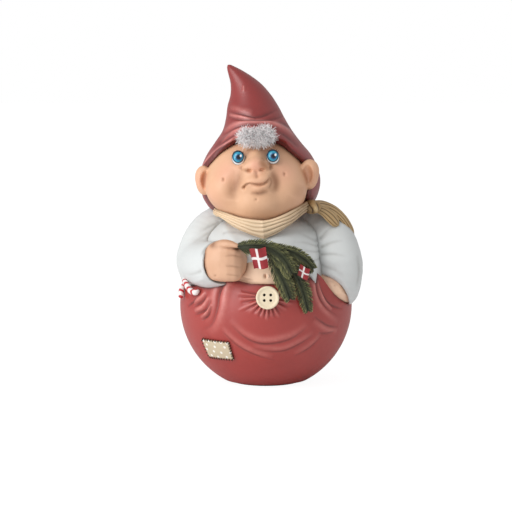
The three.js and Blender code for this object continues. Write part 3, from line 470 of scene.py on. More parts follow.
INNER_PIECES = {
    "ballast": ("ballast_plaster", "grey plaster", (178, 176, 168), (150, 148, 140), 900, 0.9, 0.0002),
    "base_plug": ("plug_rubber", "black rubber", (38, 38, 38), (56, 56, 55), 2200, 0.65, 0.00005),
    "base_felt": ("base_felt_cloth", "brown felt", (96, 52, 48), (64, 34, 32), 5000, 0.95, 0.0004),
}
for node, (slot, *finish) in INNER_PIECES.items():
    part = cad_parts[node]
    part.data.materials.clear()
    part.data.materials.append(plain_finish(*finish))


# Patch: a square of beige dotted cotton that lies on the trousers, sewn down with overcast
# stitches of brown thread. Its corners are azimuth and height, along its top and then below.
PATCH_CORNERS = [[(-49, 25.2), (-26, 25.2)], [(-48, 15.9), (-25, 16)]]
PATCH_SIZE = (15.5, 9.6)
DOT_RADIUS, DOT_EDGE = 0.72, 0.14
PATCH_DOTS = [
    (0.17, 0.26), (0.47, 0.33), (0.83, 0.3), (0.1, 0.52), (0.37, 0.6), (0.65, 0.63), (0.2, 0.86), (0.46, 0.9),
    (0.8, 0.86), (0.06, 0.08), (0.3, 0.04), (0.53, 0.06), (0.74, 0.05), (0.95, 0.06), (0.98, 0.6),
]


def between(corners, across, along):
    """Places on a four-cornered sheet, from shares across and along it. Its corners are two and two."""
    (start_left, start_right), (end_left, end_right) = np.array(corners)
    start = start_left + (start_right - start_left) * across[..., None]
    end = end_left + (end_right - end_left) * across[..., None]
    return start + (end - start) * along[..., None]


def on_patch(across, down, out):
    """A place on the patch, from its shares across and down."""
    place = between(PATCH_CORNERS, across, down)
    return on_ball(place[..., 0], place[..., 1], out)


def sheet_grid(rows, columns):
    """Shares along and across for all the places of a sheet."""
    return np.meshgrid(np.linspace(0, 1, rows), np.linspace(0, 1, columns), indexing="ij")


def slab(front, back):
    """A thin closed sheet, from the rows and columns of places on its two sides."""
    rows, columns = front.shape[:2]
    border = np.concatenate([
        np.arange(columns), np.arange(1, rows) * columns + columns - 1,
        np.arange(columns - 2, -1, -1) + (rows - 1) * columns, np.arange(rows - 2, 0, -1) * columns,
    ])
    after, behind = np.roll(border, -1), rows * columns
    plane = grid_faces(rows, columns, closed_columns=False)
    edge = np.stack([border, border + behind, after + behind, after], -1)
    points = np.vstack([front.reshape(-1, 3), back.reshape(-1, 3)])
    return points, np.vstack([plane, plane[:, ::-1] + behind, edge])


down, across = sheet_grid(72, 120)
rim = np.minimum.reduce([down / 0.08, (1 - down) / 0.08, across / 0.05, (1 - across) / 0.05, np.ones_like(down)])
weave = 0.035 * np.sin(across * 150) * np.sin(down * 90)
cloth_front = on_patch(across, down, 0.55 + 0.5 * np.sqrt(rim) + weave)
points, faces = slab(cloth_front, on_patch(across, down, np.full_like(rim, 0.25)))
dots = np.zeros(rim.shape)
for x, y in PATCH_DOTS:
    away = np.hypot((across - x) * PATCH_SIZE[0], (down - y) * PATCH_SIZE[1])
    dots = np.maximum(dots, np.clip((DOT_RADIUS - away) / DOT_EDGE, 0, 1))
patch_cloth = painted(
    "dotted patch cloth", (212, 198, 170), (194, 176, 146), (96, 66, 42), (226, 214, 190),
    unevenness=0.8, bump=0.0001, matt=0.7,
)
overpaint(patch_cloth, "dot", (244, 241, 232))
# The cloth is painted darker towards its edges with the wash: painted shade where it meets the trousers.
cast(
    "patch_cloth", points, faces[:, ::-1], patch_cloth, "patch_paint", "patch",
    crease=np.concatenate([(1 - rim).ravel() * 0.35, np.ones(rim.size)]),
    dot=np.concatenate([dots.ravel(), np.zeros(rim.size)]),
)


def full_turn(count):
    """Angles spaced evenly round a circle."""
    return np.arange(count) / count * 2 * math.pi


def tube(route, radii, sides, squash=1.0, facing=(0, -1, 0), lobes=0, lobe_depth=0.0):
    """A closed round tube along a route. The facing side can be flatter, and it can have lengthwise pleats."""
    route = np.asarray(route, float)
    radii = np.broadcast_to(np.asarray(radii, float), len(route))
    ahead = unit(np.gradient(route, axis=0))
    side = unit(np.cross(ahead, facing))
    out = np.cross(side, ahead)
    angle = full_turn(sides)
    pleat = 1 + lobe_depth * np.cos(angle * lobes)
    across = side[:, None] * (np.cos(angle) * pleat)[:, None]
    depth = out[:, None] * (np.sin(angle) * pleat)[:, None] * squash
    points = (route[:, None] + (across + depth) * radii[:, None, None]).reshape(-1, 3)
    return points, grid_faces(len(route), sides)


def tapered(length, start=0.05, end=0.05, power=0.5):
    """Round ends for a tube: radii along it as shares of its full radius."""
    t = np.linspace(0, 1, length)
    return np.clip(np.minimum(t / start, (1 - t) / end), 0.02, 1) ** power


def gathered(parts):
    """Several meshes as one."""
    starts = np.cumsum([0] + [len(points) for points, _ in parts])
    return np.vstack([points for points, _ in parts]), np.vstack([f + n for (_, f), n in zip(parts, starts)])


# Each side of the patch: its start, its end and its number of stitches.
PATCH_SIDES = [((0, 0), (1, 0), 10), ((1, 0), (1, 1), 7), ((1, 1), (0, 1), 10), ((0, 1), (0, 0), 6)]
stitches = []
for start, end, count in PATCH_SIDES:
    level = start[1] == end[1]
    lean = np.array([0.035, -0.1] if level else [0.05, -0.05]) * 0.9
    for k in range(count):
        middle = np.array(start) + np.subtract(end, start) * (k + 0.5) / count
        ends = np.array([middle - lean, middle, middle + lean])
        stitch = on_patch(ends[:, 0], ends[:, 1], np.array([0.35, 1.2, 0.35]))
        stitches.append(tube(curve_through(stitch, 9), 0.24 * tapered(9, 0.2, 0.2), 6))
thread = plain_finish("brown thread", (84, 52, 34), (58, 34, 22), 4000, 0.8, 0.0001)
cast("patch_stitches", *gathered(stitches), thread, "patch_paint")


# Button: a cream horn button with four holes, sewn through the waistband. It is turned with a
# soft rim, and the wash stays in its holes and round its edge.
BUTTON_HOLES = [(x * 1.55, z * 1.32) for x in (-1, 1) for z in (-1, 1)]
HOLE_RADIUS, HOLE_EDGE, HOLE_DEPTH = 0.72, 0.2, 0.85
DISH_HEIGHT, DISH_RINGS, EDGE_RINGS = 0.95, 42, 48
# Radius and height of its section, from the middle of the dish over the rim to the back.
BUTTON_SECTION = [(0.03, DISH_HEIGHT)] + [(r, DISH_HEIGHT) for r in np.linspace(0.25, 3.5, 40)] + [
    (3.6, 0.95), (4.1, 1.02), (4.5, 1.3), (4.9, 1.45), (5.25, 1.4), (5.5, 1.15), (5.6, 0.8), (5.55, 0.4), (5.3, 0.1),
    (4.8, 0), (0.03, 0),
]
button_place = on_ball(0.7, 47.8, 1.4)
button_out = unit(button_place - (0, 0, BALL_MIDDLE))
button_side = unit(np.cross(button_out, (0, 0, 1)))
button_up = np.cross(button_side, button_out)
ring_radius, ring_height = np.array(BUTTON_SECTION).T
angle = full_turn(160)
across = ring_radius[:, None] * np.cos(angle)
up = ring_radius[:, None] * np.sin(angle)
hole = np.zeros_like(across)
for x, z in BUTTON_HOLES:
    hole = np.maximum(hole, np.clip((HOLE_RADIUS - np.hypot(across - x, up - z)) / HOLE_EDGE, 0, 1))
hole[DISH_RINGS:] = 0
proud = ring_height[:, None] - hole * HOLE_DEPTH
points = button_place + across[..., None] * button_side + up[..., None] * button_up + proud[..., None] * button_out
button_finish = painted(
    "cream button paint", (240, 224, 194), (228, 208, 172), (40, 26, 20), (252, 243, 222), unevenness=0.5, bump=0.00004,
)
edge_wash = np.where(np.arange(len(ring_radius)) > EDGE_RINGS, 0.25, 0)[:, None]
cast(
    "button_disc", points.reshape(-1, 3), grid_faces(len(ring_radius), len(angle)), button_finish,
    "button_paint", "button",
    crease=np.maximum(hole * 1.6, edge_wash).ravel(),
)


# Body: the bare belly with its navel, which goes on down into the waist and up inside the shirt
# to the neck. It is one casting, painted in skin colour.
SHIRT_OUTLINE = [(54, 40.6), (58, 41.2), (63, 40.4), (68, 38.2), (73, 34.8), (77.5, 30.2), (81.2, 24), (83.6, 17)]
SHIRT_WALL = 2.2
NARROW = 0.88


def eased(t):
    """A share from 0 to 1 that starts and ends gently."""
    return t * t * (3 - 2 * t)


def chest_width(z):
    """The chest is narrower from side to side than from front to back, but round at the waist."""
    return 1 + (NARROW - 1) * eased(np.clip((z - 54) / 14, 0, 1))


def tuck_in(points, start, width, depth):
    """Draws the front in at the left side, from one place across, where the sleeve lies on it."""
    aside = np.clip((points[:, 0] - start) / width, 0, 1) * np.clip((80 - points[:, 2]) / 5, 0, 1)
    points[:, 1] *= 1 - depth * eased(aside) * (points[:, 1] < 0)


BODY_ROWS, BELLY_BULGE = 90, 2.2
body_z = np.concatenate([[46, 46, 53], np.linspace(54, 81, BODY_ROWS), [82.5, 84.6, 88, 93, 93]])[:, None]
chest = soft_line(SHIRT_OUTLINE, np.linspace(54.6, 81.6, BODY_ROWS)) - SHIRT_WALL
body_r = np.concatenate([[0.05, 30.5, 30.5], chest, [12, 9, 9, 9, 0.05]])[:, None]
points = turned(body_r, body_z, chest_width(body_z))
faces = grid_faces(len(body_z), around)
bulge = BELLY_BULGE * np.exp(-(((points[:, 0] - 0.5) / 15) ** 2) - ((points[:, 2] - 56) / 9) ** 2)
points[:, 1] -= bulge * (points[:, 1] < -20)
tuck_in(points, 22, 4, 0.4)
BELLY_MARKS = [
    ([(-0.4, 59.2), (-0.5, 57.9), (-0.3, 56.7)], 0.62, -1.2, "ends"),
    ([(0.8, 58.8), (0.9, 57.9), (0.8, 57.1)], 0.6, 0.6, "ends"),
    ([(-0.3, 57.9)], 2.2, -0.1, "none"),
    ([(-13, 58), (-10, 56.6), (-6, 55.8)], 0.7, -0.3, "ends"),
]
points, crease, ridge = press(points, faces, BELLY_MARKS)
# The belly's skin paint is lighter than the face's: painted light, where the fist and the sprig shade the belly.
skin_paint = painted("belly skin paint", (250, 214, 184), (246, 206, 176), (140, 86, 58), (255, 232, 210), 0.5)
cast("belly", points, faces, skin_paint, "skin_paint", "torso", crease=crease * 0.8, ridge=ridge)


# Shirt: an off-white shell over the chest, with a hem that arches up over the belly. Creases run
# in from both armpits, and a grey wash lies in them.
HEM, COLLAR, SHIRT_ROWS = 53.6, 83.6, 100
ARCH_FOOT, ARCH_RISE = 53.4, 12
front_x = np.sin(azimuths) * 39
arch = ARCH_FOOT + ARCH_RISE * np.sqrt(np.clip(1 - ((front_x - 2) / np.where(front_x > 2, 20, 27)) ** 2, 0, 1))
hem = np.where(np.abs(turns) < 75, np.maximum(HEM, arch), HEM)
outer_z = hem + (COLLAR - hem) * np.linspace(0, 1, SHIRT_ROWS)[:, None]
outer_r = soft_line(SHIRT_OUTLINE, outer_z)
inner_z = outer_z[::-1] - 0.5
inner_z[-1] = hem
shirt_z = np.vstack([outer_z, inner_z])
shirt_r = np.vstack([outer_r, outer_r[::-1] - SHIRT_WALL + 0.15])
points = turned(shirt_r, shirt_z, chest_width(shirt_z))
faces = grid_faces(SHIRT_ROWS * 2, around, closed_rows=True)
tuck_in(points, 23.4, 3.6, 0.32)
SHIRT_CREASES = [
    ([(23.4, 60), (23.6, 66), (22.6, 72)], 2.4, 0.5, "ends"),
    ([(26, 64), (20, 64.6), (14, 63.6)], 0.9, -0.3, "end"),
    ([(25.8, 67.4), (19, 69), (12, 69.2)], 0.9, -0.35, "end"),
    ([(25.4, 70), (19.5, 72.6), (13, 73.4)], 0.9, -0.35, "end"),
    ([(24.8, 72.5), (19.5, 75.6), (15, 77.6)], 0.9, -0.3, "end"),
    ([(-19.5, 79), (-17.8, 76), (-16, 74)], 2.4, 0.7, "none"),
    ([(-20.6, 76.5), (-15, 77.4), (-10, 77.2)], 0.9, -0.3, "end"),
    ([(-4, 75.5), (6, 74.8), (14, 73.4)], 3.0, 0.4, "ends"),
]
points, crease, ridge = press(points, faces, SHIRT_CREASES)
shirt_paint = painted(
    "off-white shirt paint", (217, 220, 219), (206, 209, 208), (132, 128, 120), (232, 233, 232),
    unevenness=0.5, bump=0.00005, matt=0.5,
)
cast("shirt_body", points, faces, shirt_paint, "shirt_paint", "shirt", crease=crease * 0.5, ridge=ridge * 0.3)


# Sleeves: full soft sleeves, each modelled as one round mass in clay before it was cast. The
# right one bends at the elbow and the left one runs down into its pocket.
def workspace(low, high, step):
    """A block of places to model in, as three axes of millimetres, with its corner and its step."""
    low = np.array(low, float)
    axes = [np.arange(low[k], high[k] + step, step, dtype=np.float32) for k in range(3)]
    return (axes[0][:, None, None], axes[1][None, :, None], axes[2][None, None, :]), (low, step)


def egg(place, centre, radii):
    """Distance to an egg-shaped mass, negative inside it."""
    offset = [place[k] - centre[k] for k in range(3)]
    near = np.sqrt(sum((offset[k] / radii[k]) ** 2 for k in range(3))) + 1e-6
    far = np.sqrt(sum((offset[k] / radii[k] ** 2) ** 2 for k in range(3))) + 1e-6
    return near * (near - 1) / far


def roll(place, start, end, first, last):
    """Distance to a straight roll of clay with round ends, thicker at one end."""
    step = [end[k] - start[k] for k in range(3)]
    length = max(sum(s * s for s in step), 1e-9)
    t = np.clip(sum((place[k] - start[k]) * step[k] for k in range(3)) / length, 0, 1)
    away = np.sqrt(sum((place[k] - start[k] - t * step[k]) ** 2 for k in range(3)))
    return away - (first + (last - first) * t)


def blended(first, second, soft):
    """Two masses joined, with the joint smoothed over."""
    h = np.clip(0.5 + 0.5 * (second - first) / soft, 0, 1)
    return second + (first - second) * h - soft * h * (1 - h)


def carved(mass, tool, soft):
    """A mass with another cut out of it, and the cut's edge rounded."""
    return -blended(-mass, tool, soft)


def bent_roll(place, knots, radii, count=14):
    """A roll of clay along a smooth curve."""
    route = curve_through(knots, count)
    sizes = curve_through(np.array(radii, float)[:, None], count)[:, 0]
    parts = (roll(place, route[k], route[k + 1], sizes[k], sizes[k + 1]) for k in range(count - 1))
    return functools.reduce(np.minimum, parts)


def skin_over(field, low, step):
    """The surface of a modelled mass, as points and four-sided faces."""
    filled = field < 0
    cells_shape = tuple(n - 1 for n in field.shape)
    corners = np.array([(i, j, k) for i in (0, 1) for j in (0, 1) for k in (0, 1)])
    held = np.zeros(cells_shape, np.int8)
    for i, j, k in corners:
        held += filled[i:i + cells_shape[0], j:j + cells_shape[1], k:k + cells_shape[2]]
    cells = np.argwhere((held > 0) & (held < 8))
    number = np.full(cells_shape, -1, np.int64)
    number[tuple(cells.T)] = np.arange(len(cells))
    place = np.zeros((len(cells), 3))
    crossings = np.zeros(len(cells))
    for a in corners:
        for axis in range(3):
            if a[axis]:
                continue
            b = a.copy()
            b[axis] = 1
            at_a = field[tuple((cells + a).T)]
            at_b = field[tuple((cells + b).T)]
            crossed = (at_a < 0) != (at_b < 0)
            t = at_a[crossed] / (at_a[crossed] - at_b[crossed])
            place[crossed] += a + (b - a) * t[:, None]
            crossings[crossed] += 1
    points = low + (cells + place / crossings[:, None]) * step
    faces = []
    for axis in range(3):
        near = np.take(filled, range(field.shape[axis] - 1), axis)
        beyond = np.take(filled, range(1, field.shape[axis]), axis)
        edges = np.argwhere(near != beyond)
        u, v = np.zeros(3, int), np.zeros(3, int)
        u[(axis + 1) % 3] = 1
        v[(axis + 2) % 3] = 1
        inside_block = np.ones(len(edges), bool)
        for k in ((axis + 1) % 3, (axis + 2) % 3):
            inside_block &= (edges[:, k] > 0) & (edges[:, k] < cells_shape[k])
        edges = edges[inside_block]
        four = np.stack([number[tuple((edges - w).T)] for w in (u + v, v, 0 * u, u)], -1)
        leaving = near[tuple(edges.T)]
        faces.append(np.where(leaving[:, None], four, four[:, ::-1]))
    return points, np.vstack(faces)


def smoothed(points, faces, rounds=2, strength=0.5):
    """Evens out the surface by drawing every point towards the middle of its neighbours."""
    ends = np.vstack([faces[:, [k, (k + 1) % 4]] for k in range(4)])
    count = np.bincount(ends[:, 0], minlength=len(points)) + np.bincount(ends[:, 1], minlength=len(points))
    for turn in range(rounds * 2):
        total = np.zeros_like(points)
        for axis in range(3):
            total[:, axis] = np.bincount(ends[:, 0], points[ends[:, 1], axis], len(points))
            total[:, axis] += np.bincount(ends[:, 1], points[ends[:, 0], axis], len(points))
        pull = total / np.maximum(count, 1)[:, None] - points
        points = points + pull * (strength if turn % 2 == 0 else -strength * 0.94)
    return points


def modelled(mass, block, marks):
    """A modelled mass as a smooth mesh with its marks pressed in: points, faces, creases and ridges."""
    points, faces = skin_over(mass, *block)
    points, crease, ridge = press(smoothed(points, faces), faces, marks)
    return points, faces, crease, ridge


def cast_clay(name, mass, block, marks, finish, node, wash, dry):
    """Casts a modelled mass, with shares of the wash in its creases and of the dry brush on its ridges."""
    points, faces, crease, ridge = modelled(mass, block, marks)
    slot = "shirt_paint" if finish is shirt_paint else "skin_paint"
    cast(name, points, faces, finish, slot, node, crease=crease * wash, ridge=ridge * dry)


CLAY_STEP = 0.5
place, block = workspace((-49, -45, 45), (-10, 18, 93), CLAY_STEP)
right_arm = blended(
    bent_roll(place, [(-20, 4, 80), (-28.2, 1, 73.6), (-32.2, -4, 64), (-31.8, -7, 54)], [9.6, 10.8, 11.6, 10.4]),
    bent_roll(place, [(-34, 0, 61), (-32, -12, 60.6), (-27, -26, 61.5), (-22.5, -33.4, 63.4)], [10, 11.2, 11.4, 10.9]),
    3,
)
right_arm = carved(right_arm, egg(place, (-18.9, -39.4, 64.3), (11.3, 9.4, 11.2)), 0.8)
SLEEVE_CREASES = [
    ([(-23.5, 80.5), (-28, 78.5), (-33, 76)], 1.1, -0.5, "end"),
    ([(-22.6, 77.4), (-28, 76.2), (-34, 73.4)], 1.3, 0.4, "end"),
    ([(-24, 76.6), (-30, 74.6), (-37, 70.6)], 1.0, -0.45, "end"),
    ([(-22.4, 82.6), (-26, 83.4), (-30, 82.6)], 0.9, -0.4, "end"),
    ([(-21.8, 84.4), (-25, 86), (-28, 86)], 0.9, -0.35, "end"),
    ([(-31.6, 60), (-36, 57.6), (-40, 56.6)], 1.1, -0.35, "end"),
    ([(-31, 56), (-35, 53.4), (-39, 52.6)], 1.1, 0.3, "end"),
    ([(-22.4, 74.8), (-26.8, 72.8), (-29.4, 69.6), (-31, 64.6), (-30.8, 59.6), (-29.2, 54.8)], 0.9, 0.5, "ends"),
]
cast_clay("sleeve_right", right_arm, block, SLEEVE_CREASES, shirt_paint, "right_sleeve", 0.5, 0.3)

# The left cuff is an arch round this place, as wide and high as given.
CUFF, CUFF_SIZE = (26.8, 39.8), (14, 16)
place, block = workspace((13, -32, 34), (52, 18, 92), CLAY_STEP)
left_arm = bent_roll(
    place, [(20, 3, 80), (30.4, -5, 74), (36, -14, 62), (36.6, -15.5, 53), (36.4, -14.5, 48.6)],
    [9, 11.6, 11.4, 10.4, 9.6],
)
cuff_arch = np.hypot((place[0] - CUFF[0]) / CUFF_SIZE[0], (place[2] - CUFF[1]) / CUFF_SIZE[1]) - 1
left_arm = carved(left_arm, np.maximum(cuff_arch * CUFF_SIZE[0], place[1] + 9), 0.9)
SLEEVE_CREASES = [
    ([(27, 69.6), (32, 72), (38, 73)], 1.1, -0.5, "end"),
    ([(27, 72), (31.4, 75), (36.4, 77)], 1.2, 0.4, "end"),
    ([(26.4, 73.6), (30, 77.6), (34, 80)], 1.0, -0.4, "end"),
    ([(27, 66), (33, 66.6), (40, 65.4)], 1.1, -0.45, "end"),
    ([(27.4, 63.6), (33, 63), (39.6, 61)], 1.4, 0.35, "end"),
    ([(27.2, 60.8), (33, 59), (38.4, 56)], 1.1, -0.35, "end"),
    ([(44.6, 66), (45.6, 58), (44.4, 50)], 1.2, -0.35, "ends"),
    ([(28, 57.2), (33.6, 56), (38.2, 52.8), (41.6, 46.8)], 1.1, 0.5, "ends"),
]
cast_clay("sleeve_left", left_arm, block, SLEEVE_CREASES, shirt_paint, "left_sleeve", 0.5, 0.3)


# Hands: a plump fist that closes round the twig, with its thumb on top, and the back of the hand
# that goes into the pocket. Both are skin-coloured, with a brown wash between the fingers.
HAND_STEP = 0.36
place, block = workspace((-36, -51, 50), (-6, -15, 80), HAND_STEP)
fist = egg(place, (-20.2, -37, 65), (10.2, 8.8, 10.2))
fist = blended(fist, roll(place, (-31, -20, 61), (-22, -33, 63.5), 6, 8), 3)
for z, tip_x in ((70.2, -13.4), (65.8, -12), (61.6, -12.6), (58.8, -16.4)):
    finger = bent_roll(
        place, [(-25.4, -39, z), (-20, -43.2, z), (-15, -42.8, z - 0.2), (tip_x, -38, z - 0.4)],
        [2.5, 2.9, 2.9, 2.5], count=8,
    )
    fist = blended(fist, finger, 2.4)
thumb = bent_roll(
    place, [(-27, -37.6, 68.4), (-23.4, -41, 72.4), (-18.8, -44.6, 73.6), (-14, -46.8, 73.2)],
    [3.2, 2.4, 1.8, 1.0], count=8,
)
fist = blended(fist, thumb, 1.0)
FIST_MARKS = [
    ([(-20, 68.2), (-16, 68.6), (-11.6, 67.6)], 0.7, -0.3, "ends"),
    ([(-19.6, 63.6), (-15.8, 63.4), (-12, 62.6)], 0.7, -0.3, "ends"),
    ([(-19.4, 59.6), (-16.4, 59.2), (-12.6, 58.6)], 0.7, -0.28, "ends"),
    ([(-24.6, 58.4)], 0.7, -0.45, "none"),
    ([(-22.8, 72.6), (-18.6, 72), (-14.4, 71.8), (-11.4, 71.6)], 0.5, -0.5, "ends"),
]
hand_paint = painted("hand skin paint", (222, 176, 144), (206, 157, 123), (122, 74, 48), (246, 212, 184), 0.55)
cast_clay("fist", fist, block, FIST_MARKS, hand_paint, "right_fist", 0.6, 1)

# The hand is cut to the trousers' ball, so that it swells out above the pocket's edge only.
POCKET_EDGE = [26, 28, 31.8, 36.1, 39.5, 41], [56, 52.6, 48, 43.7, 41.5, 40]
place, block = workspace((12, -34, 28), (50, 12, 74), HAND_STEP * 1.2)
hand = bent_roll(
    place, [(34.6, -9, 62), (33.6, -14, 55), (33.4, -16, 48.6), (31.8, -15.4, 41), (28, -16.5, 36)],
    [6.5, 8.6, 9.8, 9.8, 7.4],
)
from_ball = np.sqrt(place[0] ** 2 + place[1] ** 2 + (place[2] - BALL_MIDDLE) ** 2) - BALL
above_pocket = place[2] - np.interp(place[0], *POCKET_EDGE)
bulge = np.clip(np.where(above_pocket > 0, above_pocket * 0.7, above_pocket * 2), -4, 3.2)
hand = carved(hand, bulge - from_ball - 0.5, 0.5)
HAND_MARKS = [
    ([(33.4, 51.4)], 0.8, -0.3, "none"),
    ([(29, 53.6), (33, 52.8), (37, 49.6)], 1.2, -0.2, "ends"),
]
# The back of the hand has a lighter skin paint than the fist: painted light, where it sits in shade.
back_paint = painted("hand back paint", (254, 216, 186), (246, 204, 172), (158, 106, 76), (252, 220, 194), 0.5)
cast_clay("hand_in_pocket", hand, block, HAND_MARKS, back_paint, "left_hand", 0.6, 1)


# Head: round, with full cheeks, a broad nose, a pouting mouth and two ears, all one casting. The
# cheeks are tinted pink, a brown wash lies in the creases beside the nose, the mouth and the
# cheeks, and brown painted shade lies along them too, in the ears and under the chin.
HEAD_CENTRE = (-5, -8, 103)


def bare_head(place):
    """The head without its features: skull, jaw and cheeks."""
    mass = egg(place, HEAD_CENTRE, (25.2, 27, 21))
    mass = blended(mass, egg(place, (-2.9, -17, 92), (20.3, 18.6, 13)), 3)
    mass = blended(mass, egg(place, (-17.2, -20.6, 98.6), (12.2, 12.8, 11.6)), 4)
    return blended(mass, egg(place, (8.0, -20.6, 99), (11.8, 12.8, 11.8)), 4)


place, block = workspace((-39, -45, 77), (30, 21, 127), 0.42)
head = bare_head(place)
# the muzzle, then the nose with its bridge, its tip, its two sides and its two holes
head = blended(head, egg(place, (-4.6, -32.4, 102.4), (9.0, 5.8, 7.8)), 4)
head = blended(head, roll(place, (-4.9, -28.6, 116), (-5.0, -32.8, 111.8), 1.8, 3.0), 4)
head = blended(head, egg(place, (-5.1, -34.0, 110.9), (4.7, 3.6, 2.9)), 2.0)
head = blended(head, egg(place, (-9.4, -33.4, 109.9), (2.5, 2.6, 1.9)), 1.6)
head = blended(head, egg(place, (-0.8, -33.6, 110.4), (2.7, 2.6, 2.1)), 1.6)
for nostril in ((-8.2, -36.4, 108.4), (-2.0, -36.6, 108.8)):
    head = carved(head, egg(place, nostril, (1.4, 1.5, 0.7)), 0.7)
# the two lips, the chin and the ears
head = blended(head, bent_roll(
    place, [(-10.8, -34.8, 100.9), (-8.2, -36.6, 103), (-4.6, -37.6, 103.6), (-0.6, -37.0, 104.5), (2.0, -35.2, 105.4)],
    [1.0, 2.0, 2.2, 2.1, 1.2],
), 1.6)
head = blended(head, bent_roll(
    place, [(-7.6, -35.4, 99.7), (-4.4, -37.0, 99.7), (-1.0, -36.8, 100.6), (1.4, -35.2, 102.4)], [1.2, 2.1, 2.1, 1.2]
), 1.4)
head = blended(head, egg(place, (-3.8, -33.0, 93.0), (7.6, 4.2, 4.6)), 4)
EARS = [(-30.2, -15, 101.7, -1, (4.3, 3.4, 7.0)), (20.8, -19.2, 104.9, 1, (4.7, 3.4, 7.2))]
for x, y, z, way, radii in EARS:
    ear = egg(place, (x, y, z), radii)
    ear = blended(ear, egg(place, (x + 0.5 * way, y, z + 2.4), [r * s for r, s in zip(radii, (0.92, 0.9, 0.7))]), 1.5)
    ear = carved(ear, egg(place, (x - 0.9 * way, y - 3.2, z + 0.4), (2.5, 2.4, 4.8)), 1.0)
    head = blended(head, ear, 0.8)
# Drawn from the front, across and up.
FACE_MARKS = [
    # the mouth's line, with its corners
    (
        [(-11.3, 99.6), (-10.4, 101.0), (-8.4, 102.0), (-5.6, 101.8), (-3, 101.7), (-0.4, 102.5), (1.8, 104.4)],
        0.62, -1.1, "none",
    ),
    ([(-11.3, 99.8)], 0.8, -0.9, "none"),
    ([(1.6, 105.8), (2.9, 104.2), (2.8, 101.8), (1.2, 99.6)], 1.0, -0.7, "ends"),
    # the hollow under the lip and the dimple in the chin
    ([(-7.4, 97.8), (-3.2, 97.3), (0.8, 98.6)], 1.3, -0.55, "ends"),
    ([(-4.9, 94.6)], 0.8, -0.5, "none"),
    # the creases beside the nose, and the groove under it
    ([(-12.3, 111.2), (-12.7, 109.6), (-11.9, 108)], 0.8, -0.6, "ends"),
    ([(1.6, 112.2), (2.6, 110.4), (1.8, 108.4)], 0.9, -0.8, "ends"),
    ([(-4.9, 107.6), (-4.6, 105.8)], 1.2, -0.5, "none"),
    # the folds from the nose down past the mouth
    ([(-12.8, 108.8), (-13.6, 105.1), (-15, 101.6), (-16.4, 97.6), (-16.8, 93.6)], 3.2, -1.3, "ends"),
    ([(2.6, 108), (4.4, 105), (5, 101.6), (4.4, 98)], 2.2, -0.9, "ends"),
    # dimples in the cheeks
    ([(-20.8, 104.4), (-20.8, 103.4)], 0.6, -0.6, "none"),
    ([(8.8, 106.9), (8.9, 105.9)], 0.6, -0.6, "none"),
    # the hollows round the eyes, and the soft lids under them
    ([(-13.5, 114.2)], 4.2, -0.7, "none"),
    ([(3.2, 114.7)], 4.2, -0.7, "none"),
]
points, faces, crease, ridge = modelled(head, block, FACE_MARKS)
pink = np.zeros(len(points))
for spot, size, amount in (
    ((-20, -31, 108), 7, 0.35), ((9, -31, 108), 7, 0.3), ((-5, -39, 111), 4.6, 0.5), ((-24, -26, 96), 7, 0.25),
    ((-4, -39, 103), 5, 0.15), ((15, -27, 97), 7, 0.15), ((-14, -30, 119), 5, 0.3), ((4, -30, 119), 5, 0.3),
    ((-32, -17, 102), 5, 0.35), ((22, -21, 105), 5, 0.25),
):
    pink = np.maximum(pink, amount * np.exp(-((np.linalg.norm(points - spot, axis=1) / size) ** 2)))
facing = -outward(points, faces)[:, 1]
# Painted shade: brown laid where shade falls, on the shaded side of the nose, in the cheek folds, round the mouth, in
# the ears and under the chin.
shadow = np.zeros(len(points))
for line, spread, amount in (
    ([(-13.4, 109.6), (-14.6, 105), (-16, 100), (-17.2, 94.6)], 3.6, 0.26),
    ([(-13.2, 107.6), (-13.6, 104.4), (-14.6, 101)], 1.4, 0.3),
    ([(2.2, 107.4), (4.2, 104.6), (4.6, 101), (2.6, 97.4)], 1.7, 0.5),
    ([(-6, 99.4), (-3.2, 98.8), (0.6, 100.4)], 1.5, 0.22),
    ([(-3.4, 113.4), (-1.8, 111.8), (-0.2, 110), (1.2, 109)], 1.6, 0.8),
    ([(-0.2, 112.6), (2, 111), (2, 108.8)], 1.1, 0.65),
    ([(-11.6, 109.2), (-9.6, 108.2), (-7.4, 108.2)], 0.9, 0.6),
    ([(-8, 97.6), (-3.4, 97), (1.4, 98.4)], 1.3, 0.15),
    ([(-11.5, 99.4), (-10.4, 101.2), (-8.4, 102.1)], 0.8, 0.55),
    ([(-8.4, 102.1), (-5.6, 101.9), (-3, 101.8), (-0.4, 102.6), (2, 104.6)], 0.6, 0.5),
    ([(17.6, 108), (19.4, 104.4), (20.4, 99.6)], 1.1, 0.5),
    ([(20.4, 109), (22.2, 105.2), (21, 100.4)], 1.3, 0.6),
    ([(-29.6, 106), (-31.2, 102.4), (-30.2, 98.2)], 1.1, 0.5),
    ([(-20.8, 104.5), (-20.8, 103.3)], 0.5, 0.5),
    ([(8.8, 107), (8.9, 105.8)], 0.5, 0.5),
    ([(13, 95), (8, 89), (0, 85.6), (-8, 85.4)], 4.5, 0.3),
    ([(17, 101), (15, 95)], 4.0, 0.2),
):
    shadow = np.maximum(shadow, amount * near_line(points, facing, line, spread, "ends"))
head_paint = painted("face skin paint", (228, 181, 145), (216, 164, 126), (118, 72, 48), (246, 214, 186), 0.5)
overpaint(head_paint, "pink", (236, 160, 142))
overpaint(head_paint, "shadow", (158, 106, 70))
cast(
    "head_with_ears", points, faces, head_paint, "skin_paint", "head",
    crease=crease * 0.55, ridge=ridge, pink=pink, shadow=shadow,
)


# Eyes: glossy enamel domes let into the face. The iris, the pupil, the white under it and the
# glint are painted on, with a dark line all round, and short lashes stand above.
eye_paint, given, coat = new_group("painted eye", {"Vector": ["Place", "Eye"]}, {"Color": ["Colour"]})


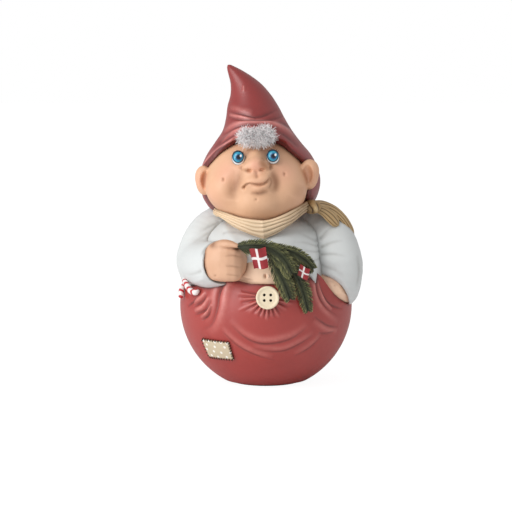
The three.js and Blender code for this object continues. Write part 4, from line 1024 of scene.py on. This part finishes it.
def away_from(tree, place, centre, shift, stretch):
    """How far a place is from an eye's own centre, moved by a shift, in millimetres."""
    aside = add(tree, "VectorMath", {0: place, 1: centre}, operation="SUBTRACT").outputs[0]
    moved = add(tree, "VectorMath", {0: aside, 1: [v / 1000 for v in shift]}, operation="SUBTRACT").outputs[0]
    flat = add(tree, "VectorMath", {0: moved, 1: [v * 1000 for v in stretch]}, operation="MULTIPLY").outputs[0]
    return add(tree, "VectorMath", {0: flat}, operation="LENGTH").outputs["Value"]


# From the back of the paint to its front: where each spot is, its shape, size, soft edge and colour.
EYE_SPOTS = [
    ((0, 0, 0), (1, 0, 0.9), 3.1, 0.3, (240, 246, 248)),
    ((-0.1, 0, 0.62), (1, 0, 0.96), 2.95, 0.2, (8, 44, 76)),
    ((-0.1, 0, 0.62), (1, 0, 0.96), 2.45, 0.3, (46, 156, 190)),
    ((0.2, 0, 0.5), (1, 0, 1), 1.9, 0.6, (16, 84, 134)),
    ((0.2, 0, 0.6), (1, 0, 1), 1.2, 0.25, (6, 12, 34)),
    ((1.2, 0, 1.2), (1, 0, 0.8), 0.6, 0.2, (255, 255, 255)),
]
painted_eye = (24, 84, 110)
for shift, stretch, size, soft, spot_colour in EYE_SPOTS:
    away = away_from(eye_paint, given["Place"], given["Eye"], shift, stretch)
    spot = reckon(eye_paint, "DIVIDE", reckon(eye_paint, "SUBTRACT", size, away), soft, True)
    painted_eye = mixed(eye_paint, spot, painted_eye, spot_colour)
feed(eye_paint, coat, {"Colour": painted_eye})

# For each eye: its CAD node, its middle, and how many and how long its lashes are.
EYES = {
    "eye_right": ("right_eye", (-13.5, -29.8, 114.0), 4, 0.8),
    "eye_left": ("left_eye", (3.2, -29.8, 114.5), 7, 1.3),
}
EYE_GRID = ((90, 140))
down, round_ = np.meshgrid(np.linspace(0, math.pi, EYE_GRID[0]), full_turn(EYE_GRID[1]), indexing="ij")
dome = np.stack([np.sin(down) * np.cos(round_) * 3.25, -np.cos(down) * 2.9, np.sin(down) * np.sin(round_) * 3.6], -1)
lashes = []
for name, (node, centre, lash_count, lash_length) in EYES.items():
    enamel, tree, skin, place = new_finish(name + " enamel")
    group = add(tree, "Group", {"Place": place, "Eye": [v / 1000 for v in centre]}, node_tree=eye_paint)
    feed(tree, skin, {"Base Color": group.outputs["Colour"], "Roughness": 0.22, "Coat Weight": 0.3})
    cast(name, (dome + centre).reshape(-1, 3), grid_faces(*EYE_GRID)[:, ::-1], enamel, "eye_paint", node)
    across, forward, up = centre
    lid = [
        (across + 3.15 * math.sin(a), forward - 1.1 + 0.3 * abs(a), up + 3.4 * math.cos(a))
        for a in np.linspace(-1.6, 1.05, 9)
    ]
    lashes.append(tube(curve_through(lid, 30), 0.36 * tapered(30, 0.4, 0.4, 1), 6))
    for k in range(lash_count):
        lean = 2 * k / (lash_count - 1) - 1
        root = np.array([across + lean * 2.2, forward - 1.1 + abs(lean) * 0.5, up + 3.3 - lean**2 * 0.8])
        tip = root + np.array([lean * 0.6, -0.3, 1.0]) * lash_length
        lash = curve_through([root, (root + tip) / 2 + (0, -0.1, 0), tip], 6)
        lashes.append(tube(lash, 0.17 * tapered(6, 0.05, 0.9, 1), 5))
lash_paint = plain_finish("lash paint", (30, 44, 56), (46, 58, 70), 3000, 0.5, 0.00002)
cast("lashes", *gathered(lashes), lash_paint, "eye_paint")


# Kerchief: a cream cloth folded into lengthwise pleats and tied round the neck. It comes to a
# soft point in front, and dark wash lies between the pleats.
KERCHIEF_ROUTE = [
    (-1.6, -33.6, 80.2, 4.0), (9.5, -31.2, 83.9, 3.1), (17.5, -24, 88.6, 2.5), (21, -12.5, 89.6, 2.4),
    (18, 4, 87, 2.3), (8, 14, 85.6, 2.3), (-6, 15, 85.6, 2.3), (-18, 7, 86.4, 2.3),
    (-24, -7, 86, 2.0), (-24.2, -16, 86.2, 1.8), (-21.4, -24.6, 86, 1.9), (-11.8, -32, 82.2, 3.1),
]
ring = KERCHIEF_ROUTE[-2:] + KERCHIEF_ROUTE + KERCHIEF_ROUTE[:3]
per_knot = 40
route = curve_through(ring, (len(ring) - 1) * per_knot + 1)[2 * per_knot:-2 * per_knot - 1]
middle, half_depth = route[:, :3], route[:, 3]
ahead = unit(np.roll(middle, -1, 0) - np.roll(middle, 1, 0))
cloth_out = unit(np.cross(ahead, (0, 0, 1)))
cloth_up = np.cross(cloth_out, ahead)
angle = full_turn(110)
upness = np.sin(angle)
front = np.cos(angle) > -0.2
pleats = np.abs(np.cos((upness * 2.05 + 0.2) * math.pi))
thick = 1.15 + np.where(front, 0.6 * pleats**0.8, 0)
v_point = np.exp(-np.abs(middle[:, 0] + 1.6) / 2.4) * (middle[:, 1] < -20)
up = upness[None] * half_depth[:, None] - np.clip(-upness, 0, 1)[None] * v_point[:, None]
points = (
    middle[:, None] + cloth_out[:, None] * (np.cos(angle) * thick)[None, :, None] + cloth_up[:, None] * up[..., None]
)
points[..., 1] -= (0.8 * v_point)[:, None]
wave = 0.2 * np.sin(full_turn(len(middle)) * 7)[:, None] * np.cos(angle * 2)[None]
points = (points + cloth_up[:, None] * wave[..., None]).reshape(-1, 3)
faces = grid_faces(len(middle), len(angle), closed_rows=True)
if outward(points, faces)[0] @ cloth_out[0] < 0:
    faces = faces[:, ::-1]
groove = np.tile(np.where(front, (1 - pleats) ** 3, 0), len(middle))
lit = np.tile(np.where(front, pleats**4, 0), len(middle))
# The wash in the grooves between the pleats is thin on the left and thick towards the knot, as
# painted shade there, and painted shade also darkens the whole cloth towards the knot.
groove_wash_and_shade = np.clip(0.5 + (points[:, 0] + 4) / 30, 0.32, 1.2)
shade_towards_knot = np.clip((points[:, 0] - 4) / 14, 0, 1) * 0.55
cloth_paint = painted(
    "cream kerchief paint", (232, 205, 170), (218, 188, 148), (116, 84, 48), (246, 226, 198), bump=0.00007,
)
cast(
    "kerchief_band", points, faces, cloth_paint, "kerchief_paint", "kerchief",
    crease=np.maximum(groove * groove_wash_and_shade, shade_towards_knot), ridge=lit * 0.5,
)

tail_paint = painted(
    "tan kerchief paint", (180, 144, 94), (142, 108, 64), (74, 50, 28), (228, 202, 156), unevenness=0.9, bump=0.00009,
)
knot = np.array((22.3, -18.4, 89.2))
KNOT_GRID = (80, 120)
down, round_ = np.meshgrid(np.linspace(0.001, math.pi - 0.001, KNOT_GRID[0]), full_turn(KNOT_GRID[1]), indexing="ij")
folds = 1 + 0.05 * np.abs(np.sin(round_ * 4 + down * 2))
lump = [np.sin(down) * np.cos(round_) * 4.5 * folds, np.sin(down) * np.sin(round_) * 4.2 * folds, np.cos(down) * 3.5]
points = (np.stack(lump, -1) + knot).reshape(-1, 3)
faces = grid_faces(*KNOT_GRID)[:, ::-1]
points, crease, ridge = press(points, faces, [
    ([(18.4, 91.4), (21, 90.4), (22.6, 88), (22.6, 86)], 0.9, -0.9, "none"),
    ([(24.2, 92.2), (25.4, 90), (25.4, 87)], 0.7, -0.7, "ends"),
    ([(24.2, 88.4)], 1.7, 0.9, "none"),
    ([(20.0, 88.8)], 1.4, 0.4, "none"),
])
dark_left = np.clip((22.8 - points[:, 0]) / 2.5, 0, 1) * 0.75
cast(
    "knot", points, faces, tail_paint, "kerchief_paint", "kerchief_knot",
    crease=np.maximum(crease, dark_left), ridge=ridge,
)

# For each end of the kerchief: its CAD node, its route and its widths, and the way its flat side faces.
TAILS = {
    "kerchief_end_short": (
        "kerchief_tail_front", [knot + (1.6, 0.4, -0.4), (28.4, -16.4, 86.6), (32, -15.6, 83.6), (35.6, -15, 79.6)],
        [2.2, 3.2, 3.8, 2.6], (0.4, -0.7, 0.7),
    ),
    "kerchief_end_long": (
        "kerchief_tail_back",
        [
            knot + (1.6, 1.6, 0.8), (28.6, -11, 88.8), (33.4, -10, 86.8), (37.6, -9.8, 83.2), (40.6, -9.6, 79),
            (42.6, -9, 74.4), (43, -6, 70),
        ],
        [2.4, 3.2, 3.2, 3.0, 2.8, 2.4, 1.4], (0.6, -0.5, 0.62),
    ),
}
TAIL_ROWS, TAIL_SIDES, TAIL_PLEATS = 90, 120, 9
groove = np.tile(np.clip(-np.cos(full_turn(TAIL_SIDES) * TAIL_PLEATS), 0, 1) ** 2, TAIL_ROWS)
for name, (node, knots, radii, facing) in TAILS.items():
    route = curve_through(knots, TAIL_ROWS)
    sizes = curve_through(np.array(radii, float)[:, None], TAIL_ROWS)[:, 0] * tapered(TAIL_ROWS, 0.03, 0.12)
    points, faces = tube(route, sizes, TAIL_SIDES, 0.36, facing, TAIL_PLEATS, 0.07)
    if outward(points, faces)[60] @ (points[60] - route[0]) < 0:
        faces = faces[:, ::-1]
    cast(name, points, faces, tail_paint, "kerchief_paint", node, crease=groove * 0.8, ridge=(1 - groove) * 0.45)


# Hood: a pointed red hood, modelled over the head, with a rolled brim round the face and a tip
# that bends to one side. Long creases cross its front, and it takes the trousers' paint slot, in a darker red paint of
# its own.
HOOD_RINGS = [
    (83, -3.3, 2, 17, 19), (83.4, -3.3, 2, 18, 20), (86, -3.3, 1, 23.5, 24), (90, -3.2, -0.5, 27, 27),
    (95.8, -3, -2, 29.3, 29), (101.8, -3, -3, 29.9, 30), (107.8, -3.3, -3.8, 28.6, 29.8),
    (113.8, -3.5, -4.2, 25.8, 28.8), (119.7, -4, -4.5, 21.4, 26.8), (125.7, -4.3, -4.5, 17.2, 23.6),
    (131.6, -5.3, -4, 14.6, 18.6), (137.6, -6.5, -3, 12.6, 14), (143.5, -7.7, -1.8, 9.9, 10.5),
    (149.4, -10.5, -0.7, 7.2, 7.4), (153, -13.4, -0.3, 5.2, 5.2), (156.4, -16.7, 0, 2.6, 2.6),
    (158, -18.3, 0, 0.9, 0.9), (164, -19, 0, 0.1, 0.1),
]
# Where the hood ends on the face, across and up, once round from the forehead towards +X.
FACE_EDGE = [
    (-4, 122.4), (5.9, 119.6), (12.7, 114.5), (17.3, 110.1), (19.9, 104), (19.9, 98.6), (17.8, 90),
    (12, 84), (4, 81), (-6, 80.4), (-15, 82), (-21.5, 86), (-25.3, 90.3), (-27.9, 94.2),
    (-29.9, 100), (-29, 106.7), (-25.1, 112.1), (-21.2, 116), (-13.5, 120.6),
]
face_edge = curve_through(FACE_EDGE[-2:] + FACE_EDGE + FACE_EDGE[:3], 24 * 8 + 1)[16:-16]


def past_edge(x, z):
    """How far a place is outside the drawn edge of the face, negative inside it."""
    gap = np.full(np.broadcast(x, z).shape, 1e9, np.float32)
    inside = np.zeros(gap.shape, bool)
    for (x0, z0), (x1, z1) in zip(face_edge[:-1], face_edge[1:]):
        dx, dz = x1 - x0, z1 - z0
        t = np.clip(((x - x0) * dx + (z - z0) * dz) / max(dx * dx + dz * dz, 1e-9), 0, 1)
        gap = np.minimum(gap, np.hypot(x - x0 - t * dx, z - z0 - t * dz))
        crosses = (z0 > z) != (z1 > z)
        inside ^= crosses & (x < x0 + (z - z0) * dx / (dz if abs(dz) > 1e-9 else 1e-9))
    return np.where(inside, -gap, gap)


place, block = workspace((-38, -38, 80), (32, 32, 160), 0.48)
rings = np.array(HOOD_RINGS)


def ring_at(levels):
    """The hood's middle, across and forward, and its half width and half depth at some heights."""
    return [soft_line(rings[:, [0, k]], levels) for k in (1, 2, 3, 4)]


def on_hood(x, z, side=-1):
    """A place on the hood's front, or its back with side 1."""
    middle_x, middle_y, wide, deep = (size[0] for size in ring_at(np.array([float(z)])))
    return (x, middle_y + side * deep * math.sqrt(max(1 - ((x - middle_x) / wide) ** 2, 0)), z)


middle_x, middle_y, wide, deep = (size[None, None, :].astype(np.float32) for size in ring_at(place[2].ravel()))
wide, deep = np.maximum(wide, 0.1), np.maximum(deep, 0.1)
hood = np.sqrt(((place[0] - middle_x) / wide) ** 2 + ((place[1] - middle_y) / deep) ** 2) - 1
hood = np.maximum(np.maximum(hood * np.sqrt(wide * deep), 83.4 - place[2]), place[2] - 158)
inside_hood = bare_head(place)
edge_gap = past_edge(place[0][:, :, 0], place[2][0])[:, None, :]
opening = np.maximum(edge_gap - 0.8 * np.clip(inside_hood, 0, 4), place[1] + 9)
hood = carved(carved(hood, opening, 1.0), inside_hood - 0.25, 0.3)
HOOD_CREASES = [
    ([(-18.8, 135.6), (-11.8, 134.4), (-6.4, 133.4), (-0.2, 134.2), (5.4, 136.4)], 0.9, -0.8, "ends"),
    ([(-17.8, 137.4), (-11.8, 136.4), (-6.4, 135.4)], 1.3, 0.35, "ends"),
    ([(-18.2, 134), (-14.2, 133.5), (-9.4, 132.8), (-5.5, 132.4)], 0.9, 0.8, "ends"),
    ([(-18.8, 132.8), (-13.7, 132), (-8.7, 131.7), (-2.5, 131.7), (2.9, 132), (9, 133.2)], 0.8, -0.8, "ends"),
    (
        [
            (-20.6, 125.4), (-15.6, 129.4), (-10.2, 131.0), (-4.1, 131.2), (1.3, 130.6), (6.3, 128.8), (10.6, 126.2),
            (14.0, 123.4),
        ],
        1.0, 0.8, "ends",
    ),
    ([(-21.2, 123.6), (-15.6, 127.6), (-10.2, 129.6), (-4.1, 129.8), (2.0, 129), (8, 127)], 0.7, -0.6, "ends"),
    ([(-22.6, 121), (-16.4, 125.8), (-10.8, 128.2), (-6, 128.6)], 0.9, 0.6, "ends"),
    ([(-23.6, 118.8), (-18, 123), (-13.4, 125.4)], 0.8, -0.5, "ends"),
    ([(-13.4, 124.2), (-16.3, 122.5), (-19.7, 120.1), (-23.6, 116.8), (-27.5, 113), (-30.6, 109)], 0.9, 0.7, "none"),
    ([(-16, 126.6), (-21, 122.6), (-26, 117)], 0.9, -0.35, "ends"),
    ([(6, 131), (10.4, 128.6), (14.6, 124.6), (18, 120)], 0.9, -0.6, "ends"),
    ([(8, 133), (11.4, 130.6), (14.4, 127)], 1.1, 0.5, "ends"),
    ([(4.5, 127.4), (10, 123.8), (16, 118.4)], 1.1, -0.4, "ends"),
    ([(-11, 147.6), (-11, 145.8)], 0.6, 0.4, "none"),
]
BACK_CREASES = [
    ([(-14, 133), (-4, 131), (6, 133)], 1.3, -0.8, "ends"), ([(-16, 130), (-4, 128), (9, 130)], 1.6, 0.8, "ends"),
    ([(-20, 124), (-4, 121.6), (13, 124)], 1.4, -0.8, "ends"), ([(-22, 116), (-6, 112), (12, 115)], 2.2, 0.7, "ends"),
]
marks = HOOD_CREASES + [([on_hood(*spot, 1) for spot in line], *stroke) for line, *stroke in BACK_CREASES]
points, faces, crease, ridge = modelled(hood.astype(np.float32), block, marks)
# The rim, between the face and the outside of the hood, is painted darker with the wash: this is painted shade on the
# inside of the brim.
off_head = bare_head(points.T)
rim = np.clip((3.0 - past_edge(points[:, 0], points[:, 2])) / 0.5, 0, 1) * (points[:, 1] < -9.5)
rim *= np.clip((3.4 - off_head) / 0.6, 0, 1)
hood_paint = painted(
    "red hood paint", (144, 36, 33), (126, 29, 27), (66, 16, 14), (240, 154, 146),
    unevenness=0.7, bump=0.00005, matt=0.36, sheen=0.9,
)
cast(
    "hood_shell", points, faces, hood_paint, "red_paint", "hood",
    crease=np.maximum(crease * 0.7, rim * 0.62), ridge=ridge * 0.95 * (1 - rim),
)


# Tuft: three close lobes of curly white fur, glued under the brim over the forehead. Every hair is
# a thin tapering strand of its own on a pad of wool.
shuffle = np.random.default_rng(7)
# For each lobe: its middle, its size and its share of the hairs.
LOBES = [
    ((-8.8, -29.6, 124.0), (4.8, 3.4, 4.2), 0.32), ((-0.8, -29.8, 124.7), (5.2, 3.6, 4.3), 0.36),
    ((-4.8, -29.4, 123.6), (7.2, 3.9, 4.1), 0.32),
]
HAIR_COUNT = 2600
HAIR_TAPER = 0.13 * np.array([1, 1, 0.9, 0.75, 0.5, 0.15])
# The pad's size and the place of the hairs' roots, as shares of a lobe's size.
PAD_SHARE, ROOT_SHARE = 0.68, 0.66
place, block = workspace((-18, -37, 113), (9, -20, 135), 0.6)
lobes = (egg(place, centre, [r * PAD_SHARE for r in radii]) for centre, radii, _ in LOBES)
pad_points, pad_faces = skin_over(functools.reduce(lambda pad, lobe: blended(pad, lobe, 1.2), lobes), *block)
hairs = [(smoothed(pad_points, pad_faces, 1), pad_faces)]
for _ in range(HAIR_COUNT):
    centre, radii, _share = LOBES[shuffle.choice(3, p=[share for *_place, share in LOBES])]
    heading = unit(shuffle.normal(size=3))
    if heading[1] > 0.25:
        continue
    start = centre + heading * radii * ROOT_SHARE
    lean = unit(heading + shuffle.normal(size=3) * 0.5)
    curl = unit(np.cross(lean, shuffle.normal(size=3)))
    length = shuffle.uniform(1.4, 4.3)
    swirl = shuffle.uniform(0.3, 0.8)
    bends = ((0, 0), (0.45, 1), (0.8, 0.3), (1, -0.5))
    knots = [start + lean * length * run + curl * swirl * sway for run, sway in bends]
    hairs.append(tube(curve_through(knots, 6), HAIR_TAPER, 3))
fur = plain_finish("white fur", (255, 252, 252), (250, 240, 240), 1500, 0.7, 0.00003)
feed(fur.node_tree, fur.node_tree.nodes["Principled BSDF"], {
    "Subsurface Weight": 0.7, "Subsurface Radius": (0.004, 0.0036, 0.0036),
})
cast("fur_tuft", *gathered(hairs), fur, "tuft_fur", "hair_tuft")


# Sprig: a spruce twig through the fist, with four fronds that lie over the belly. Every needle
# is a piece of its own, set on the twig in rows, dark green with paler tips.
def needle_mesh(start, end, wide, lift):
    """A flat spruce needle with a ridge along its back, pointed at its end."""
    t = np.array([0, 0.25, 0.6, 0.88, 1.0])
    width = wide * np.array([0.55, 1, 0.95, 0.6, 0.08])[:, None]
    route = start + (end - start) * t[:, None] + np.outer(4 * t * (1 - t), (0, -lift, 0))
    ahead = end - start
    side = unit(np.cross(ahead, (0, -1, 0)))
    out = unit(np.cross(side, ahead))
    if out[1] > 0:
        out = -out
    side, out = side * width, out * width
    four = np.stack([route + side, route + out * 0.7, route - side, route - out * 0.3], 1)
    return four.reshape(-1, 3), grid_faces(5, 4)


# For each frond: its CAD node, its rib, the needles' length above and below it, and their number.
FRONDS = {
    "sprig_top": (
        "sprig_frond_top",
        [(-14, -47.2, 73), (-8, -48.4, 73.6), (-1, -49, 73.2), (5, -48.6, 70.4), (9, -48, 66.4), (12, -47.4, 61)],
        5.0, 8.6, 460,
    ),
    "sprig_side": (
        "sprig_frond_right",
        [(1, -46, 73.4), (8, -45, 71.4), (13.6, -44, 69.4), (18.6, -42.6, 66), (22.4, -41.2, 62)],
        4.2, 6.4, 380,
    ),
    "sprig_low_inner": (
        "sprig_frond_low_left", [(2, -46.6, 69), (5.6, -46.2, 61.6), (8.8, -45.6, 54.8), (11.2, -44.8, 48)],
        6.0, 6.0, 400,
    ),
    "sprig_low_outer": (
        "sprig_frond_low_right", [(9, -44, 67.6), (14, -43, 59.4), (17.6, -42, 51), (20, -41, 41.6)], 5.4, 5.4, 400,
    ),
}
RIB_STEPS = 60
spruce = painted(
    "spruce paint", (80, 88, 48), (48, 58, 32), (16, 18, 11), (214, 208, 144), unevenness=1.0, bump=0.00005, matt=0.36,
)
for name, (node, knots, upper, lower, count) in FRONDS.items():
    route = curve_through(knots, RIB_STEPS)
    heading = unit(np.gradient(route, axis=0))
    share = np.linspace(0, 1, RIB_STEPS)
    core = tube(route + (0, 0.9, 0), 1.8 * np.minimum(1, 1.1 - share) * tapered(RIB_STEPS, 0.04, 0.1), 12, 0.4)
    parts, tips = [core], [np.zeros(len(core[0]))]
    total = count
    for k in range(total):
        side = 1 if k % 2 else -1
        on_top = (k // 2) % 2
        s = min((k + shuffle.uniform(0, 2)) / total, 1)
        spot = np.array([np.interp(s, share, route[:, axis]) for axis in range(3)])
        forward = np.array([np.interp(s, share, heading[:, axis]) for axis in range(3)])
        across = unit(np.cross(forward, (0, -1, 0))) * side
        full = upper if across[2] > 0 or across[0] > 0.7 else lower
        reach = full * math.sin(math.pi * (0.16 + 0.76 * s)) ** 0.6 * shuffle.uniform(0.92, 1.06)
        reach *= 0.66 if on_top else 1
        slant = math.radians(shuffle.uniform(24, 30) if on_top else shuffle.uniform(36, 44))
        start = spot + (0, -0.9 if on_top else -0.2, 0)
        direction = forward * math.cos(slant) + across * math.sin(slant)
        end = start + direction * reach + across * 0.5 + (0, 0.5, -0.05 * reach)
        parts.append(needle_mesh(start, end, 0.23, 0.5))
        tips.append(np.repeat([0, 0, 0.2, 0.7, 1.4], 4) * shuffle.uniform(0.1, 1.0) ** 1.5)
    points, faces = gathered(parts)
    pale = np.concatenate(tips)
    cast(name, points, faces, spruce, "spruce_paint", node, ridge=pale, crease=np.clip(1 - pale * 3, 0, 1) * 0.75)

STEM_KNOTS = [
    (-26, -40.5, 72.4), (-17, -43.6, 72.6), (-8, -46.6, 73), (1, -46.8, 71.2), (8, -46.4, 67), (13, -45.8, 62),
]
stem_size = 1.15 * tapered(70, 0.03, 0.08) * (1 + 0.08 * np.sin(np.arange(70) * 1.7))
bark = plain_finish("twig bark", (98, 78, 50), (62, 48, 30), 1400, 0.85, 0.0002)
stem = tube(curve_through(STEM_KNOTS, 70), stem_size, 14, 1, (0, 0, 1), 5, 0.05)
cast("twig", *stem, bark, "twig_paint", "sprig_stem")


# Flags: two little paper flags, red with a white cross, glued on the needles. Their paper is cut
# askew and worn into a soft wave.
def band(tree, value, centre, half, soft):
    """1 where a value is near a centre, and softly 0 away from it."""
    off = reckon(tree, "ABSOLUTE", reckon(tree, "SUBTRACT", value, centre))
    return reckon(tree, "DIVIDE", reckon(tree, "SUBTRACT", half, off), soft, True)


flag_print, tree, skin, place = new_finish("printed flag paper")
upright = band(tree, mark_of(tree, "across"), 0.42, 0.085, 0.02)
level = band(tree, mark_of(tree, "up"), 0.5, 0.075, 0.02)
red_ink = mixed(tree, speckle(tree, place, 900, 3), (168, 44, 50), (140, 34, 40))
cross = reckon(tree, "MAXIMUM", upright, level, True)
feed(tree, skin, {"Base Color": mixed(tree, cross, red_ink, (240, 232, 230)), "Roughness": 0.5})
# For each flag: its CAD node, how far forward it is, its corners across and up, below and then
# above and from the left, and how far its paper is worn.
FLAGS = {
    "paper_flag_front": ("flag_front", -52, [[(-5.9, 62.8), (0.9, 63.4)], [(-8.2, 72.2), (-0.4, 73.2)]], 0.5),
    "paper_flag_side": ("flag_side", -44, [[(14.9, 58.8), (19.6, 56.2)], [(16.2, 64), (20.9, 61.6)]], 0.35),
}
up, across = sheet_grid(40, 50)
for name, (node, forward, corners, curl) in FLAGS.items():
    flat = between(corners, across, up)
    wave = curl * np.sin((across * 1.15 + up * 0.35) * 2 * math.pi * 0.9)
    scallop = curl * 0.6 * np.sin(across * 6.5 + 0.6)
    sheet = np.stack([flat[..., 0], forward + wave, flat[..., 1] + scallop], -1)
    points, faces = slab(sheet + (0, -0.35, 0), sheet + (0, 0.35, 0))
    cast(
        name, points, faces, flag_print, "flag_paint", node,
        across=np.tile(across.ravel(), 2), up=np.tile(up.ravel(), 2),
    )


# Candy canes: two small sugar canes, red stripes wound round white, with their hooks over the
# edge of the pocket and their feet inside it.
candy, tree, skin, place = new_finish("candy stripes")
stripe = band(tree, reckon(tree, "FRACT", mark_of(tree, "stripe")), 0.5, 0.22, 0.05)
white_sugar = mixed(tree, speckle(tree, place, 1200, 3), (246, 242, 240), (232, 224, 220))
feed(tree, skin, {
    "Base Color": mixed(tree, stripe, white_sugar, (196, 46, 52)), "Roughness": 0.28, "Coat Weight": 0.3,
})
CANES = {
    "cane_long": (
        "candy_cane_a",
        [
            (-33, -13, 40), (-37, -12.6, 47), (-40, -15, 52), (-39.2, -20.4, 51.4), (-36.9, -24.6, 48.6),
            (-34.4, -27.2, 48.2), (-33.8, -27.6, 50),
        ],
        1.45,
    ),
    "cane_short": (
        "candy_cane_b",
        [(-36, -4, 40), (-37.6, -6, 46), (-39.8, -9, 49.6), (-41.8, -12.8, 47.4), (-42, -15.4, 43.6)],
        1.35,
    ),
}
CANE_ROWS, CANE_SIDES, STRIPE_TURN = 120, 28, 3.4
seam = np.abs(np.arange(CANE_SIDES) / CANE_SIDES - 0.5)[None] * 0.8
for name, (node, knots, radius) in CANES.items():
    route = curve_through(knots, CANE_ROWS)
    points, faces = tube(route, radius * tapered(CANE_ROWS, 0.03, 0.05), CANE_SIDES, 1, (0.4, 0.3, 1))
    run = np.concatenate([[0], np.cumsum(np.linalg.norm(np.diff(route, axis=0), axis=1))])[:, None]
    cast(name, points, faces, candy, "cane_paint", node, stripe=(run / STRIPE_TURN + seam).ravel())


# Last coat: thinned brown paint is run along every line where two pieces meet, and wiped off
# the open surfaces, so that a dark line is left in each joint.
JOINTS = {
    "trousers": (
        ["belly", "shirt_body", "sleeve_right", "sleeve_left", "fist", "hand_in_pocket", "button_disc"], 0.9, 0.9,
    ),
    "belly": (["trousers", "fist", "sprig_top", "sprig_low_inner"], 1.0, 0.8),
    "shirt_body": (["sleeve_right", "sleeve_left", "kerchief_band", "trousers", "fist", "sprig_top"], 0.9, 0.25),
    "sleeve_right": (["fist", "shirt_body", "trousers"], 0.9, 0.7),
    "sleeve_left": (["hand_in_pocket", "shirt_body", "trousers", "kerchief_end_long", "kerchief_end_short"], 0.8, 0.35),
    "fist": (["sleeve_right", "trousers", "twig"], 1.3, 0.8),
    "hand_in_pocket": (["sleeve_left", "trousers"], 0.7, 0.45),
    "head_with_ears": (["hood_shell", "kerchief_band", "knot"], 1.1, 0.6),
    "hood_shell": (["head_with_ears", "kerchief_band", "sleeve_right", "knot"], 1.0, 0.8),
    "kerchief_band": (["head_with_ears", "shirt_body", "knot"], 0.9, 0.7),
    "knot": (["kerchief_band", "kerchief_end_long", "kerchief_end_short", "hood_shell"], 1.0, 0.8),
}
for name, (neighbours, reach, amount) in JOINTS.items():
    points, faces = castings[name]
    layer = bpy.data.objects[name].data.attributes["crease"]
    crease = np.zeros(len(points), np.float32)
    layer.data.foreach_get("value", crease)
    for neighbour in neighbours:
        other_points, other_faces = castings[neighbour]
        near = ((points > other_points.min(0) - 2 * reach) & (points < other_points.max(0) + 2 * reach)).all(1)
        tree = BVHTree.FromPolygons(other_points.tolist(), other_faces.tolist())
        for index in np.flatnonzero(near):
            gap = tree.find_nearest(points[index], 2 * reach)[3]
            if gap is not None:
                crease[index] = max(crease[index], amount * math.exp(-((gap / reach) ** 2) * 1.2))
    layer.data.foreach_set("value", crease)
